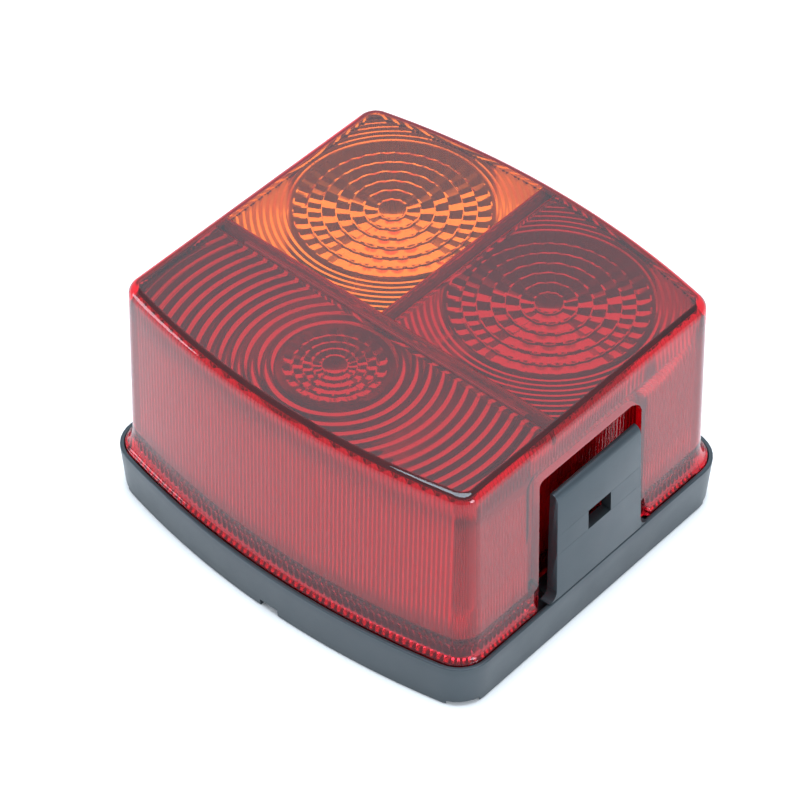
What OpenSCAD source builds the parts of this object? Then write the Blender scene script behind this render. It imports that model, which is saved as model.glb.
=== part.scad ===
// Combination tail light for a trailer.
// A clip-on lens, red with an amber pane, covers a black tray. Three bayonet bulbs lie along Y
// in one upright bulb holder, and two springy tongues on the tray hold the lens down.
// +Z points out of the lens face, X runs across the straight sides, and the origin is on the
// mounting plane in the middle of the tray.

/* [Tray] */
// Width of the tray across its straight sides
base_w = 104; // [100:0.5:110]
// Length of the tray across the middle of its bowed sides
base_l = 99; // [97:0.5:104]
// How far a bowed side of the tray stands out at its middle
base_bow = 6.8; // [5.6:0.1:7.2]
// Corner radius of the tray
base_corner = 8.5; // [7:0.5:11]
// Height of the tray's rim
rim_h = 12.2; // [11.8:0.1:13.4]
// How far the rim wall leans in towards its foot
rim_draft = 0.9; // [0.6:0.1:2]
// Thickness of the rim wall below the ledge
rim_wall = 2.4; // [1.8:0.1:3]
// Thickness of the thin lip around the lens
lip_wall = 1.1; // [0.8:0.1:1.3]
// Height of the ledge that carries the gasket
ledge_z = 9; // [8:0.1:9.4]
// Height of the floor's underside above the mounting plane
floor_z = 3; // [2:0.1:4]
// Thickness of the tray's floor and of its ledge
floor_t = 2.5; // [1.8:0.1:3]
// Height of the upstand inside the lens, above the ledge
upstand_h = 6.5; // [4:0.5:8]
// Thickness of the upstand
upstand_t = 1.8; // [1.4:0.1:2.2]
// Width of the drain notch in the foot of each bowed side
drain_w = 5; // [3:0.5:8]
// Height of the drain notches
drain_h = 2; // [1:0.1:2.5]
// Width of the notch in the foot of each corner
corner_notch_w = 7; // [4:0.5:9]
// Height of the corner notches
corner_notch_h = 1.2; // [0.6:0.1:2]

/* [Lens] */
// How far the straight lens walls stand in from the tray's edge
lens_step_x = 2.7; // [2.4:0.1:4]
// How far the bowed lens walls stand in from the tray's edge
lens_step_y = 3; // [2.6:0.1:4]
// How far a bowed lens wall stands out at its middle
lens_bow = 6.4; // [5.4:0.1:7.2]
// Corner radius of the lens wall at its foot
lens_corner = 6; // [5:0.5:8]
// Height of the lens face above the mounting plane
lens_top_z = 58.9; // [57:0.1:62]
// How far each lens wall leans in towards the face
lens_taper = 1.1; // [0.8:0.05:1.8]
// Radius of the edge around the lens face
lens_edge = 2.4; // [1.5:0.1:3]
// Wall thickness of the lens
lens_wall = 2.4; // [2:0.1:2.8]
// Height at which the flared skirt meets the lens wall
skirt_z = 17; // [16:0.1:19]
// How far the skirt's edge stands above the tray's lip
skirt_edge = 0.5; // [0.2:0.1:1]
// Depth of the pockets for the tongues
pocket_depth = 5; // [4:0.1:6]
// Width of the pockets
pocket_w = 33.2; // [32.8:0.2:35]
// How far the middle of a pocket lies from the middle of its tongue
pocket_shift = -0.6; // [-0.8:0.1:0]
// Height of the pockets' ceilings
pocket_top = 48; // [45:0.1:49]
// Radius of the upper corner on the farther side of each pocket
pocket_corner = 4.5; // [2:0.5:6]
// Radius of the upper corner on the nearer side of each pocket
pocket_near_corner = 1.5; // [1:0.5:4]
// How far the flared skirt ends from the edge of a tongue
skirt_gap = 4.6; // [4:0.1:5]
// How far the border of the amber pane lies from the middle between the large bulbs
amber_shift = -1.3; // [-3:0.1:1]
// Y of the amber pane's front border
amber_y = -9.6; // [-11:0.1:-7]
// Width of the red frame around the amber pane
amber_frame = 2.6; // [2:0.1:4]
// Height of the optic rings under the face
ring_h = 0.9; // [0.5:0.1:1.4]
// Pitch of the optic rings
ring_pitch = 3; // [2:0.1:4]
// Number of rings under each large bulb
large_rings = 7; // [4:1:7]
// Number of rings under the small bulb
small_rings = 3; // [2:1:4]

/* [Tongues] */
// Width of each tongue
tongue_w = 27.6; // [22:0.2:27.8]
// Thickness of each tongue
tongue_t = 2.2; // [2:0.1:2.8]
// Height of the tongues' tops
tongue_top = 42.2; // [41:0.1:43.5]
// Height of the round bevel along the top of each tongue
tongue_bevel = 1.8; // [1.2:0.1:2]
// How far the root of a tongue lies behind the rim's outer face
tongue_set_back = 0.7; // [0.6:0.05:0.9]
// How far a tongue's face lies behind the rim's outer face at its foot
tongue_face_back = 0.15; // [0.1:0.05:0.5]
// How far a tongue leans in from its foot to its bevel
tongue_lean = 1.25; // [0.6:0.05:1.5]
// Height of the axis about which a tongue flexes
tongue_axis_z = 11.8; // [11.4:0.1:12]
// How far the hook on each tongue reaches inwards
hook_reach = 2.6; // [1.8:0.1:3]
// Width of the hook
hook_w = 20; // [14:0.5:20]
// Height of the hook
hook_h = 3.6; // [3:0.1:4]
// How far the hook lies below the top of its tongue
hook_drop = 5.4; // [5:0.1:6]
// Radius of the fillets beside the foot of each tongue
foot_fillet = 2.2; // [1:0.1:2.4]
// Width of the pry window in each tongue
window_w = 7.4; // [5:0.2:10]
// Height of the pry window
window_h = 5.4; // [4:0.2:7]
// Height of the pry window's sill
window_z = 25.5; // [20:0.5:28]
// Width of the catch on the lens
catch_w = 10; // [6:0.5:14]
// How far the hook overlaps the catch
catch_grip = 1.2; // [0.6:0.1:1.4]

/* [Bulbs] */
// Height of the bulbs' axes
bulb_z = 30.5; // [29.5:0.5:32]
// Distance from the lens wall to the indicator bulb's axis
indicator_in = 27.1; // [25.5:0.1:28.5]
// Distance from the lens wall to the brake bulb's axis
brake_in = 27.5; // [26:0.1:29]
// Y of the filaments of the two large bulbs
large_y = 17.2; // [16.6:0.1:17.8]
// Y of the tail bulb's filament
tail_y = -26.5; // [-27:0.1:-26]
// X of the tail bulb's axis
tail_x = 0.8; // [-1:0.1:1.5]
// Distance from the bayonet pins to the filament in a large bulb
large_lcl = 31.8; // [31:0.1:32]
// Distance from the bayonet pins to the filament in the small bulb
small_lcl = 19; // [18.5:0.1:19.5]
// Diameter of the large bulbs' glass
large_glass_d = 25; // [22:0.5:26]
// Diameter of the small bulb's glass
small_glass_d = 18; // [16:0.5:19]
// Diameter of the bayonet caps
cap_d = 15; // [14.6:0.1:15.2]
// Diameter of the bayonet pins
pin_d = 2; // [1.6:0.1:2.2]
// Distance from the pins to the bulb's contact
pin_to_contact = 7; // [6.6:0.1:8]
// Wall of the socket shells
shell_wall = 0.7; // [0.5:0.1:1]
// Travel of a bulb when it is pushed in
push_travel = 2; // [1.5:0.1:2.4]
// Angle through which a bulb turns to its entry slots
turn_angle = 20; // [15:1:30]
// Wire diameter of the contact springs
spring_wire = 0.8; // [0.6:0.1:1]
// Turns of a contact spring
spring_turns = 3.5; // [3:0.5:4]
// Length of a contact spring at rest
spring_len = 6; // [5.6:0.1:8]

/* [Holder] */
// Y of the middle of the upright bulb holder
holder_y = -10.8; // [-11.1:0.1:-10.5]
// Thickness of the bulb holder's sheet
holder_t = 1.2; // [0.8:0.1:1.5]
// Depth of the holder's foot
holder_foot = 9; // [8:0.5:11]
// Thickness of the chamber partition
partition_t = 1.6; // [1.2:0.1:2.4]
// Distance between the holder's two screws
holder_screw_gap = 52; // [46:1:60]

/* [Fixing and wiring] */
// Distance between the mounting holes
mount_gap = 45; // [40:0.5:50]
// Diameter of the mounting holes
mount_hole_d = 5.5; // [4.5:0.1:6.5]
// Y of the mounting holes
mount_y = 12; // [8:0.5:20]
// Outer diameter of the mounting bosses
mount_boss_d = 12; // [10:0.5:14]
// Bore of the cable grommet
grommet_bore_d = 7; // [5:0.5:9]
// Wall of the cable grommet
grommet_wall = 2; // [1.5:0.1:2.5]
// How far the grommet's flanges stand out
grommet_rim = 1.8; // [1.2:0.1:2.2]
// Thickness of the grommet's flanges
grommet_flange_t = 1.5; // [1:0.1:2]
// Distance from the lens wall to the middle of the cable grommet
grommet_in = 22; // [20:0.5:26]
// Place of the cable grommet and the terminal block, as a part of the tray's length
wiring_part = 0.313; // [0.308:0.001:0.318]
// X of the terminal block
terminal_x = 18; // [16:0.5:19]
// Pitch of the blade terminals
terminal_pitch = 7.6; // [7:0.1:8]
// Thickness of the rubber gasket under the lens
gasket_t = 2; // [1.6:0.1:2.4]

/* [Hidden] */
$fn = 48;

// Small clearances between pieces
fit_gap = 0.15;
run_gap = 0.06;
play_gap = 0.35;
seat_gap = 0.5;
// Overlap that makes cuts run clean through
cut = 1;

// Segments along a corner and along a bowed side of an outline
corner_steps = 8;
bow_steps = 16;

floor_top = floor_z + floor_t;
lens_w = base_w - 2 * lens_step_x;
lens_l = base_l - 2 * lens_step_y;
socket_r = cap_d / 2 + play_gap + shell_wall;
bulb_room = small_glass_d / 2 + socket_r + seat_gap;
indicator_x = min(indicator_in - lens_w / 2, tail_x - bulb_room);
brake_x = max(lens_w / 2 - brake_in, tail_x + bulb_room);
amber_x = (indicator_x + brake_x) / 2 + amber_shift;
lens_foot_z = ledge_z + gasket_t;
upstand_top = ledge_z + upstand_h;
face_under = lens_top_z - lens_wall;
pocket_x = lens_w / 2 - pocket_depth;

// Clear space for upright pieces inside the upstand
upstand_in = lens_wall + seat_gap + upstand_t;
inner_x = pocket_x - upstand_in - seat_gap;
inner_y = lens_l / 2 - lens_taper - upstand_in - seat_gap;
upright_top = face_under - ring_h - seat_gap;

// Tongue: root, leaning face, axis and hook
tongue_out = base_w / 2 - tongue_set_back;
tongue_x = tongue_out - tongue_t / 2;
tongue_in = tongue_out - tongue_t;
fillet_gap = 0.3;
tongue_foot_z = rim_h + fillet_gap;
tongue_face = base_w / 2 - tongue_face_back;
bevel_z = tongue_top - tongue_bevel;
bevel_in = 0.75 * tongue_t;
tongue_slope = tongue_lean / (bevel_z - tongue_foot_z);
tongue_top_out = tongue_face - tongue_lean;
tongue_top_in = tongue_top_out - tongue_t;
hook_top = tongue_top - hook_drop;
hook_root = tongue_in + (tongue_top_in - tongue_in) * (hook_top - tongue_axis_z) / (tongue_top - tongue_axis_z);
hook_x = hook_root - hook_reach;
hook_z = hook_top - hook_h;
catch_x = hook_x + catch_grip;
catch_z = hook_z - seat_gap;
catch_h = 5;
cradle_in = tongue_in - 2;
tongue_room = 0.15;

// Bulbs and sockets: distances along a bulb's axis, from the pins towards the glass
pin_r = pin_d / 2;
pin_len = 1.4;
cap_r = cap_d / 2;
cap_wall = 0.6;
cap_top = 10.5;
foot_t = 1.5;
shell_in_r = cap_r + play_gap;
shell_out_r = shell_in_r + shell_wall;
shell_mouth = 6;
button_t = 1.2;
button_r = 2.4;
disc_t = 1.5;
disc_r = shell_in_r - play_gap;
button_back = -pin_to_contact - button_t;
disc_back = button_back - disc_t;
shell_back = disc_back - spring_len;
shell_end = shell_back - shell_wall;
lead_hole_r = 3;
slot_play = 0.3;
collar_t = 0.8;
collar_r = shell_out_r + 1.6;
glass_wall = 0.8;

// Mounting, wiring and screws
mount_boss_top = floor_top + 1.5;
grommet_x = grommet_in - lens_w / 2;
wiring_y = -wiring_part * base_l;
grommet_hole_r = grommet_bore_d / 2 + grommet_wall;
grommet_flange_r = grommet_hole_r + grommet_rim;
terminal_count = 4;
terminal_block_l = terminal_count * terminal_pitch + 2;
terminal_block_d = 9;
terminal_block_h = 7;
blade_w = 6.3;
blade_t = 0.8;
blade_h = 8;
strip_w = 4;
strip_t = 0.6;
screw_r = 1.6;
screw_head_r = 3;
screw_head_h = 1.8;
holder_screw_y = holder_y - holder_t / 2 - holder_foot / 2;

// One row for each bulb: name, X, Y of the pins, direction along Y, pins to filament, glass diameter
BULBS = [
  ["indicator", indicator_x, large_y - large_lcl, 1, large_lcl, large_glass_d],
  ["brake", brake_x, large_y - large_lcl, 1, large_lcl, large_glass_d],
  ["tail", tail_x, tail_y + small_lcl, -1, small_lcl, small_glass_d]
];

// Outlines

// Points of a closed outline with straight sides at x = +-a and bowed sides that reach y = +-h.
// A bow and its two corners keep their centres when the outline is drawn in by an inset.
function outline(a, h, bow, corner, inset = 0) =
  let (
    bow_r = (a * a + bow * bow) / (2 * bow),
    bow_y = h - bow_r,
    cx = a - corner,
    cy = bow_y + sqrt(pow(bow_r - corner, 2) - cx * cx),
    turn = atan2(cy - bow_y, cx),
    r = corner - inset,
    big = bow_r - inset,
    quarter = [for (i = [0:corner_steps]) turn * i / corner_steps],
    half = concat(
      [for (w = quarter) [cx + r * cos(w), cy + r * sin(w)]],
      [for (i = [1:bow_steps - 1])
        let (w = turn + (180 - 2 * turn) * i / bow_steps) [big * cos(w), bow_y + big * sin(w)]],
      [for (w = quarter) [-cx - r * cos(turn - w), cy + r * sin(turn - w)]]
    )
  )
  concat(half, [for (p = half) -p]);

function base_outline(inset = 0) = outline(base_w / 2, base_l / 2, base_bow, base_corner, inset);
function lens_outline(inset = 0) = outline(lens_w / 2, lens_l / 2, lens_bow, lens_corner, inset);

// A closed solid through outlines of equal length, one at each height
module loft(rings, heights) {
  n = len(rings[0]);
  last = (len(rings) - 1) * n;
  points = [for (k = [0:len(rings) - 1]) for (p = rings[k]) [p[0], p[1], heights[k]]];
  sides = [for (k = [0:len(rings) - 2]) for (i = [0:n - 1])
    let (a = k * n + i, b = k * n + (i + 1) % n) each [[a, a + n, b], [b, a + n, b + n]]];
  floor_cap = [for (i = [0:n - 1]) i];
  roof_cap = [for (i = [n - 1:-1:0]) last + i];
  polyhedron(points, concat(sides, [floor_cap, roof_cap]));
}

// Both sides of the light, for what is the same at +X and -X
module both_sides() {
  for (turn = [0, 180]) rotate(turn) children();
}

// Plan of the space inside the lens wall, drawn in all round by an inset
module lens_plan(inset) {
  difference() {
    polygon(lens_outline(inset));
    both_sides() translate([pocket_x - inset, pocket_shift - pocket_w / 2 - inset])
      square([lens_w, pocket_w + 2 * inset]);
  }
}

// A band between two insets of the lens plan
module lens_band(outer, inner, z0, z1) {
  translate([0, 0, z0]) linear_extrude(z1 - z0) difference() {
    lens_plan(outer);
    lens_plan(inner);
  }
}

// Tray

module base_body() {
  difference() {
    loft([base_outline(rim_draft), base_outline()], [0, rim_h]);
    translate([0, 0, ledge_z]) linear_extrude(rim_h) polygon(base_outline(lip_wall));
    translate([0, 0, floor_top]) linear_extrude(rim_h) lens_plan(upstand_in);
    translate([0, 0, -cut]) linear_extrude(floor_z + cut) polygon(base_outline(rim_draft + rim_wall));
    translate([0, 0, -cut]) linear_extrude(ledge_z - floor_t + cut) difference() {
      polygon(base_outline(rim_draft + rim_wall));
      lens_plan(upstand_in - floor_t);
    }
  }
  lens_band(lens_wall + seat_gap, upstand_in, ledge_z - fit_gap, upstand_top);
  both_sides() tongue_cradle();
  for (x = [-mount_gap / 2, mount_gap / 2]) translate([x, mount_y, 0]) cylinder(d = mount_boss_d, h = mount_boss_top);
}

// Block on the ledge that the root of a tongue sits in
module tongue_cradle() {
  translate([cradle_in, -tongue_w / 2, ledge_z - fit_gap])
    cube([tongue_out + tongue_room - cradle_in, tongue_w, tongue_axis_z - ledge_z + fit_gap]);
}

// Cuts for a tongue: its groove and the thinned lip in front of it
module tongue_cuts() {
  slot_w = tongue_w + 2 * seat_gap;
  translate([tongue_x, slot_w / 2, tongue_axis_z]) rotate([90, 0, 0])
    cylinder(r = tongue_t / 2 + run_gap, h = slot_w);
  translate([tongue_x, -slot_w / 2, tongue_axis_z]) cube([tongue_t / 2 + tongue_room, slot_w, rim_h]);
}

module drain_notches() {
  for (turn = [0, 180]) rotate(turn)
    translate([-drain_w / 2, base_l / 2 - rim_draft - 2 * rim_wall, -cut]) cube([drain_w, 4 * rim_wall, drain_h + cut]);
  for (sx = [-1, 1], sy = [-1, 1])
    translate([sx * (base_w / 2 - base_corner / 2), sy * (base_l / 2 - base_bow - base_corner / 2 + 1), -cut])
      rotate(sx * sy * 45) translate([-base_corner, -corner_notch_w / 2])
        cube([2 * base_corner, corner_notch_w, corner_notch_h + cut]);
}

module base_housing() {
  color("#17191b") difference() {
    base_body();
    both_sides() tongue_cuts();
    drain_notches();
    for (x = [-mount_gap / 2, mount_gap / 2])
      translate([x, mount_y, -cut]) cylinder(d = mount_hole_d, h = mount_boss_top + 2 * cut);
    translate([grommet_x, wiring_y, -cut]) cylinder(r = grommet_hole_r, h = floor_top + 2 * cut);
    for (x = [-1, 1])
      translate([x * holder_screw_gap / 2, holder_screw_y, floor_z - cut]) cylinder(r = screw_r, h = floor_t + 2 * cut);
  }
}

module lens_gasket() {
  color("#0d0d0e") lens_band(fit_gap, lens_wall - fit_gap, ledge_z, lens_foot_z);
}

module cable_grommet() {
  color("#0d0d0e") translate([grommet_x, wiring_y, 0]) difference() {
    union() {
      translate([0, 0, floor_z - grommet_flange_t]) cylinder(r = grommet_flange_r, h = grommet_flange_t);
      translate([0, 0, floor_z]) cylinder(r = grommet_hole_r - fit_gap, h = floor_t);
      translate([0, 0, floor_top]) cylinder(r = grommet_flange_r, h = grommet_flange_t);
    }
    translate([0, 0, -cut]) cylinder(d = grommet_bore_d, h = floor_top + grommet_flange_t + 2 * cut);
  }
}

// Tongues

module tongue() {
  bevel = [for (w = [0:30:90]) [tongue_top_out - bevel_in * (1 - cos(w)), bevel_z + tongue_bevel * sin(w)]];
  color("#17191b") difference() {
    union() {
      translate([tongue_x, tongue_w / 2, tongue_axis_z]) rotate([90, 0, 0]) cylinder(r = tongue_t / 2, h = tongue_w);
      translate([0, tongue_w / 2, 0]) rotate([90, 0, 0]) linear_extrude(tongue_w) polygon(concat(
        [
          [tongue_in, tongue_axis_z],
          [tongue_out, tongue_axis_z],
          [tongue_out, tongue_foot_z],
          [tongue_face, tongue_foot_z]
        ],
        bevel,
        [[tongue_top_in, tongue_top]]
      ));
      translate([0, hook_w / 2, 0]) rotate([90, 0, 0]) linear_extrude(hook_w) hook_profile();
      for (side = [0, 1]) mirror([0, side, 0]) foot_fillets();
    }
    translate([hook_x - cut, -window_w / 2, window_z]) cube([lens_w, window_w, window_h]);
  }
}

// Hollow fillet that widens the foot of a tongue just above the tray's lip
module foot_fillets() {
  depth = tongue_face - tongue_slope * foot_fillet - tongue_in;
  translate([tongue_in, tongue_w / 2, tongue_foot_z]) rotate([90, 0, 90]) linear_extrude(depth)
    difference() {
      translate([-foot_fillet, 0]) square([2 * foot_fillet, foot_fillet]);
      translate([foot_fillet, foot_fillet]) circle(foot_fillet);
    }
}

// Hook in X and Z: flat below, with a round nose and a sloping top
module hook_profile() {
  nose_r = hook_h / 4;
  difference() {
    union() {
      translate([hook_x + nose_r, hook_z]) square([hook_reach + cut - nose_r, hook_h]);
      translate([hook_x + nose_r, hook_z + nose_r]) circle(nose_r);
      translate([hook_x, hook_z + nose_r]) square([nose_r + cut, nose_r]);
    }
    polygon([
      [hook_x - cut, hook_z + 2 * nose_r],
      [hook_x, hook_z + 2 * nose_r],
      [hook_root, hook_top],
      [hook_root, hook_top + cut],
      [hook_x - cut, hook_top + cut]
    ]);
  }
}

module latch_tongue_right() {
  tongue();
}

module latch_tongue_left() {
  rotate(180) tongue();
}

// Lens

// Outer surface of the lens: skirt, flare, leaning wall, round edge and flat face
module lens_outside() {
  edge_steps = 4;
  skirt = base_outline(lip_wall + fit_gap);
  edge_z = lens_top_z - lens_edge;
  edge_angles = [for (i = [0:edge_steps]) 90 * i / edge_steps];
  loft(
    concat(
      [skirt, skirt, lens_outline()],
      [for (w = edge_angles) lens_outline(lens_taper + lens_edge * (1 - cos(w)))]
    ),
    concat([lens_foot_z, rim_h + skirt_edge, skirt_z], [for (w = edge_angles) edge_z + lens_edge * sin(w)])
  );
}

// A tongue's pocket with round upper corners, drawn larger all round by a wall
module pocket(wall) {
  near = pocket_shift - pocket_w / 2 - wall;
  far = pocket_shift + pocket_w / 2 + wall;
  near_r = pocket_near_corner + wall;
  far_r = pocket_corner + wall;
  top = pocket_top + wall;
  translate([pocket_x - wall, 0, 0]) rotate([90, 0, 90]) linear_extrude(lens_w) {
    translate([near, 0]) square([far - near, top - max(near_r, far_r)]);
    translate([near, 0]) square([far - near - far_r, top - near_r]);
    translate([near + near_r, 0]) square([far - near - near_r, top - far_r]);
    translate([near + near_r, 0]) square([far - near - near_r - far_r, top]);
    translate([near + near_r, top - near_r]) circle(near_r);
    translate([far - far_r, top - far_r]) circle(far_r);
  }
}

// Gap in the flared skirt in front of a pocket
module skirt_opening() {
  half = tongue_w / 2 + skirt_gap;
  translate([lens_w / 2 - play_gap, -half, 0]) cube([lens_step_x + cut, 2 * half, skirt_z + 2]);
}

// Hollow of the lens, with the pocket walls left standing
module lens_inside() {
  difference() {
    loft(
      [lens_outline(lens_wall), lens_outline(lens_wall), lens_outline(lens_wall + lens_taper)],
      [lens_foot_z - cut, skirt_z, face_under]
    );
    both_sides() pocket(lens_wall);
  }
}

// Catch on a pocket's back wall: flat on top, with a ramp below
module lens_catch() {
  translate([0, catch_w / 2, 0]) rotate([90, 0, 0]) linear_extrude(catch_w) polygon([
    [pocket_x - lens_wall / 2, catch_z - catch_h],
    [pocket_x, catch_z - catch_h],
    [catch_x, catch_z - 1],
    [catch_x, catch_z],
    [pocket_x - lens_wall / 2, catch_z]
  ]);
}

// Saw-tooth rings under the face, about a bulb's filament
module optic_rings(x, y, count) {
  translate([x, y, face_under]) rotate_extrude() for (i = [1:count])
    polygon([
      [i * ring_pitch - ring_pitch / 3, 0],
      [i * ring_pitch, -ring_h],
      [i * ring_pitch + ring_pitch / 3, 0],
      [i * ring_pitch, lens_wall / 2]
    ]);
}

// Prism that holds the amber pane
module amber_prism() {
  translate([0, 0, face_under - 2 * ring_h]) linear_extrude(lens_top_z) intersection() {
    polygon(lens_outline(lens_taper + amber_frame));
    translate([amber_x - lens_w, amber_y]) square([lens_w, lens_l]);
  }
}

module lens_shell() {
  difference() {
    lens_outside();
    lens_inside();
    both_sides() pocket(0);
    both_sides() skirt_opening();
  }
}

module lens_red() {
  color("#a3111c", 0.8) {
    difference() {
      union() {
        lens_shell();
        optic_rings(brake_x, large_y, large_rings);
        optic_rings(tail_x, tail_y, small_rings);
      }
      amber_prism();
    }
    both_sides() lens_catch();
  }
}

module amber_pane() {
  color("#e57f1c", 0.8) intersection() {
    union() {
      difference() {
        lens_outside();
        translate([-lens_w, -lens_l, 0]) cube([2 * lens_w, 2 * lens_l, face_under]);
      }
      optic_rings(indicator_x, large_y, large_rings);
    }
    amber_prism();
  }
}

// Bulb holder and partition

module bulb_holder() {
  color("#a9adad") difference() {
    union() {
      translate([-inner_x, holder_y - holder_t / 2, floor_top]) cube([2 * inner_x, holder_t, upright_top - floor_top]);
      translate([-inner_x, holder_y - holder_t / 2 - holder_foot, floor_top]) cube([2 * inner_x, holder_foot + cut / 2, holder_t]);
    }
    for (b = BULBS)
      translate([b[1], holder_y + holder_t, bulb_z]) rotate([90, 0, 0]) cylinder(r = shell_out_r + run_gap, h = 2 * holder_t);
    for (x = [-1, 1])
      translate([x * holder_screw_gap / 2, holder_screw_y, floor_top - cut]) cylinder(r = screw_r + fit_gap, h = holder_t + 2 * cut);
  }
}

module holder_screws() {
  color("#c3c4c2") for (x = [-1, 1]) translate([x * holder_screw_gap / 2, holder_screw_y, floor_top + holder_t]) {
    translate([0, 0, -floor_t - holder_t]) cylinder(r = screw_r - fit_gap, h = floor_t + holder_t);
    difference() {
      cylinder(r = screw_head_r, h = screw_head_h);
      translate([-screw_head_r - cut, -0.4, screw_head_h / 2]) cube([2 * screw_head_r + 2 * cut, 0.8, screw_head_h]);
    }
  }
}

// Wall between the indicator and brake chambers, arched over the tail bulb's socket
module chamber_partition() {
  wall_y = holder_y + holder_t / 2;
  arch_y = tail_y + small_lcl - shell_end + seat_gap;
  color("#17191b") difference() {
    translate([amber_x - partition_t / 2, wall_y, floor_top]) cube([partition_t, inner_y - wall_y, upright_top - floor_top]);
    translate([amber_x - partition_t, wall_y - cut, bulb_z - collar_r - seat_gap])
      cube([2 * partition_t, arch_y - wall_y + cut, 2 * collar_r + 2 * seat_gap]);
  }
}

// Wiring

module terminal_block() {
  color("#22242a") translate([terminal_x - terminal_block_l / 2, wiring_y - terminal_block_d / 2, floor_top])
    difference() {
      cube([terminal_block_l, terminal_block_d, terminal_block_h]);
      for (i = [0:terminal_count - 1])
        translate([1 + terminal_pitch * (i + 0.5) - blade_w / 2, terminal_block_d / 2 - blade_t / 2, terminal_block_h / 2])
          cube([blade_w, blade_t, terminal_block_h]);
    }
}

module blade_terminals() {
  color("#c9a24a") for (i = [0:terminal_count - 1])
    translate([terminal_x - terminal_block_l / 2 + 1 + terminal_pitch * (i + 0.5), wiring_y, floor_top + terminal_block_h / 2])
      difference() {
        translate([-blade_w / 2, -blade_t / 2, 0]) cube([blade_w, blade_t, terminal_block_h / 2 + blade_h]);
        translate([0, blade_t, terminal_block_h / 2 + blade_h * 0.6]) rotate([90, 0, 0]) cylinder(d = 1.7, h = 2 * blade_t);
      }
}

// Brass strips on the floor, one from the foot of each large socket's row to the terminal block
module feed_strips() {
  strip_y = wiring_y + terminal_block_d / 2;
  back_y = holder_y - holder_t / 2 - holder_foot;
  color("#c9a24a") for (i = [0:terminal_count - 1])
    translate([terminal_x - terminal_block_l / 2 + 1 + terminal_pitch * (i + 0.5) - strip_w / 2, strip_y, floor_top])
      cube([strip_w, back_y - strip_y, strip_t]);
}

// Sockets and bulbs, drawn along +Z from the pins and then laid along Y

module lay(b) {
  translate([b[1], b[2], bulb_z]) rotate([-90 * b[3], 0, 0]) children();
}

module socket_shell(b) {
  slot_angle = asin((pin_r + slot_play) / (shell_in_r - cut));
  slot_low = -pin_r - slot_play - push_travel;
  slot_high = pin_r + slot_play;
  collar_z = abs(holder_y - b[2]) - holder_t / 2 - collar_t;
  color("#b9a878") lay(b) difference() {
    union() {
      translate([0, 0, shell_end]) cylinder(r = shell_out_r, h = shell_mouth - shell_end);
      translate([0, 0, collar_z]) cylinder(r = collar_r, h = collar_t);
    }
    translate([0, 0, shell_back]) cylinder(r = shell_in_r, h = shell_mouth - shell_back + cut);
    translate([0, 0, shell_end - cut]) cylinder(r = lead_hole_r, h = shell_wall + 2 * cut);
    for (side = [0, 180]) rotate(side) {
      rotate([0, 0, -slot_angle]) translate([0, 0, slot_low])
        rotate_extrude(angle = turn_angle + 2 * slot_angle) translate([shell_in_r - cut, 0]) square([collar_r, slot_high - slot_low]);
      rotate(turn_angle) translate([shell_in_r - cut, -pin_r - slot_play, 0])
        cube([collar_r, pin_d + 2 * slot_play, shell_mouth + cut]);
    }
  }
}

// Helix of a contact spring, with flat ground ends
spring_sides = 6;
spring_rings = 8;
spring_r = disc_r - spring_wire - 0.6;
spring_rise = spring_len - spring_wire - 2 * fit_gap;
spring_count = round(spring_turns * spring_rings);
function spring_point(i) =
  let (w = 360 * i / spring_rings)
  [spring_r * cos(w), spring_r * sin(w), spring_rise * i / spring_count];
spring_gap = spring_rise / spring_turns - spring_wire;
echo(spring_gap = spring_gap);

module spring_coil() {
  rings = [for (i = [0:spring_count]) let (p = spring_point(i), w = 360 * i / spring_rings)
    [for (k = [0:spring_sides - 1]) let (v = 360 * k / spring_sides, q = spring_wire / 2 * cos(v))
      [p[0] + q * cos(w), p[1] + q * sin(w), p[2] + spring_wire / 2 * sin(v)]]];
  last = spring_count * spring_sides;
  sides = [for (i = [0:spring_count - 1]) for (k = [0:spring_sides - 1])
    let (a = i * spring_sides + k, b = i * spring_sides + (k + 1) % spring_sides)
    each [[a, a + spring_sides, b], [b, a + spring_sides, b + spring_sides]]];
  caps = [for (k = [1:spring_sides - 2]) each [[0, k, k + 1], [last, last + k + 1, last + k]]];
  polyhedron([for (r = rings) each r], concat(sides, caps));
}

module contact_spring(b) {
  color("#9b9c98") lay(b) translate([0, 0, shell_back + spring_wire / 2 + fit_gap]) spring_coil();
}

module contact_disc(b) {
  color("#6b3f22") lay(b) translate([0, 0, disc_back]) cylinder(r = disc_r, h = disc_t);
}

module contact_button(b) {
  color("#c9a24a") lay(b) translate([0, 0, button_back]) cylinder(r = button_r, h = button_t);
}

module bulb_foot(b) {
  color("#1c1c20") lay(b) {
    translate([0, 0, foot_t - pin_to_contact]) cylinder(r = cap_r - cap_wall, h = foot_t);
    translate([0, 0, -pin_to_contact]) cylinder(r = button_r, h = foot_t);
  }
}

module bulb_cap(b) {
  color("#c9a24a") lay(b) {
    difference() {
      translate([0, 0, foot_t - pin_to_contact]) cylinder(r = cap_r, h = cap_top + pin_to_contact - foot_t);
      translate([0, 0, -pin_to_contact]) cylinder(r = cap_r - cap_wall, h = cap_top + pin_to_contact + cut);
    }
    for (side = [0, 180]) rotate([0, 90, side]) translate([0, 0, cap_r - cap_wall / 2]) cylinder(d = pin_d, h = cap_wall / 2 + pin_len);
  }
}

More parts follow.
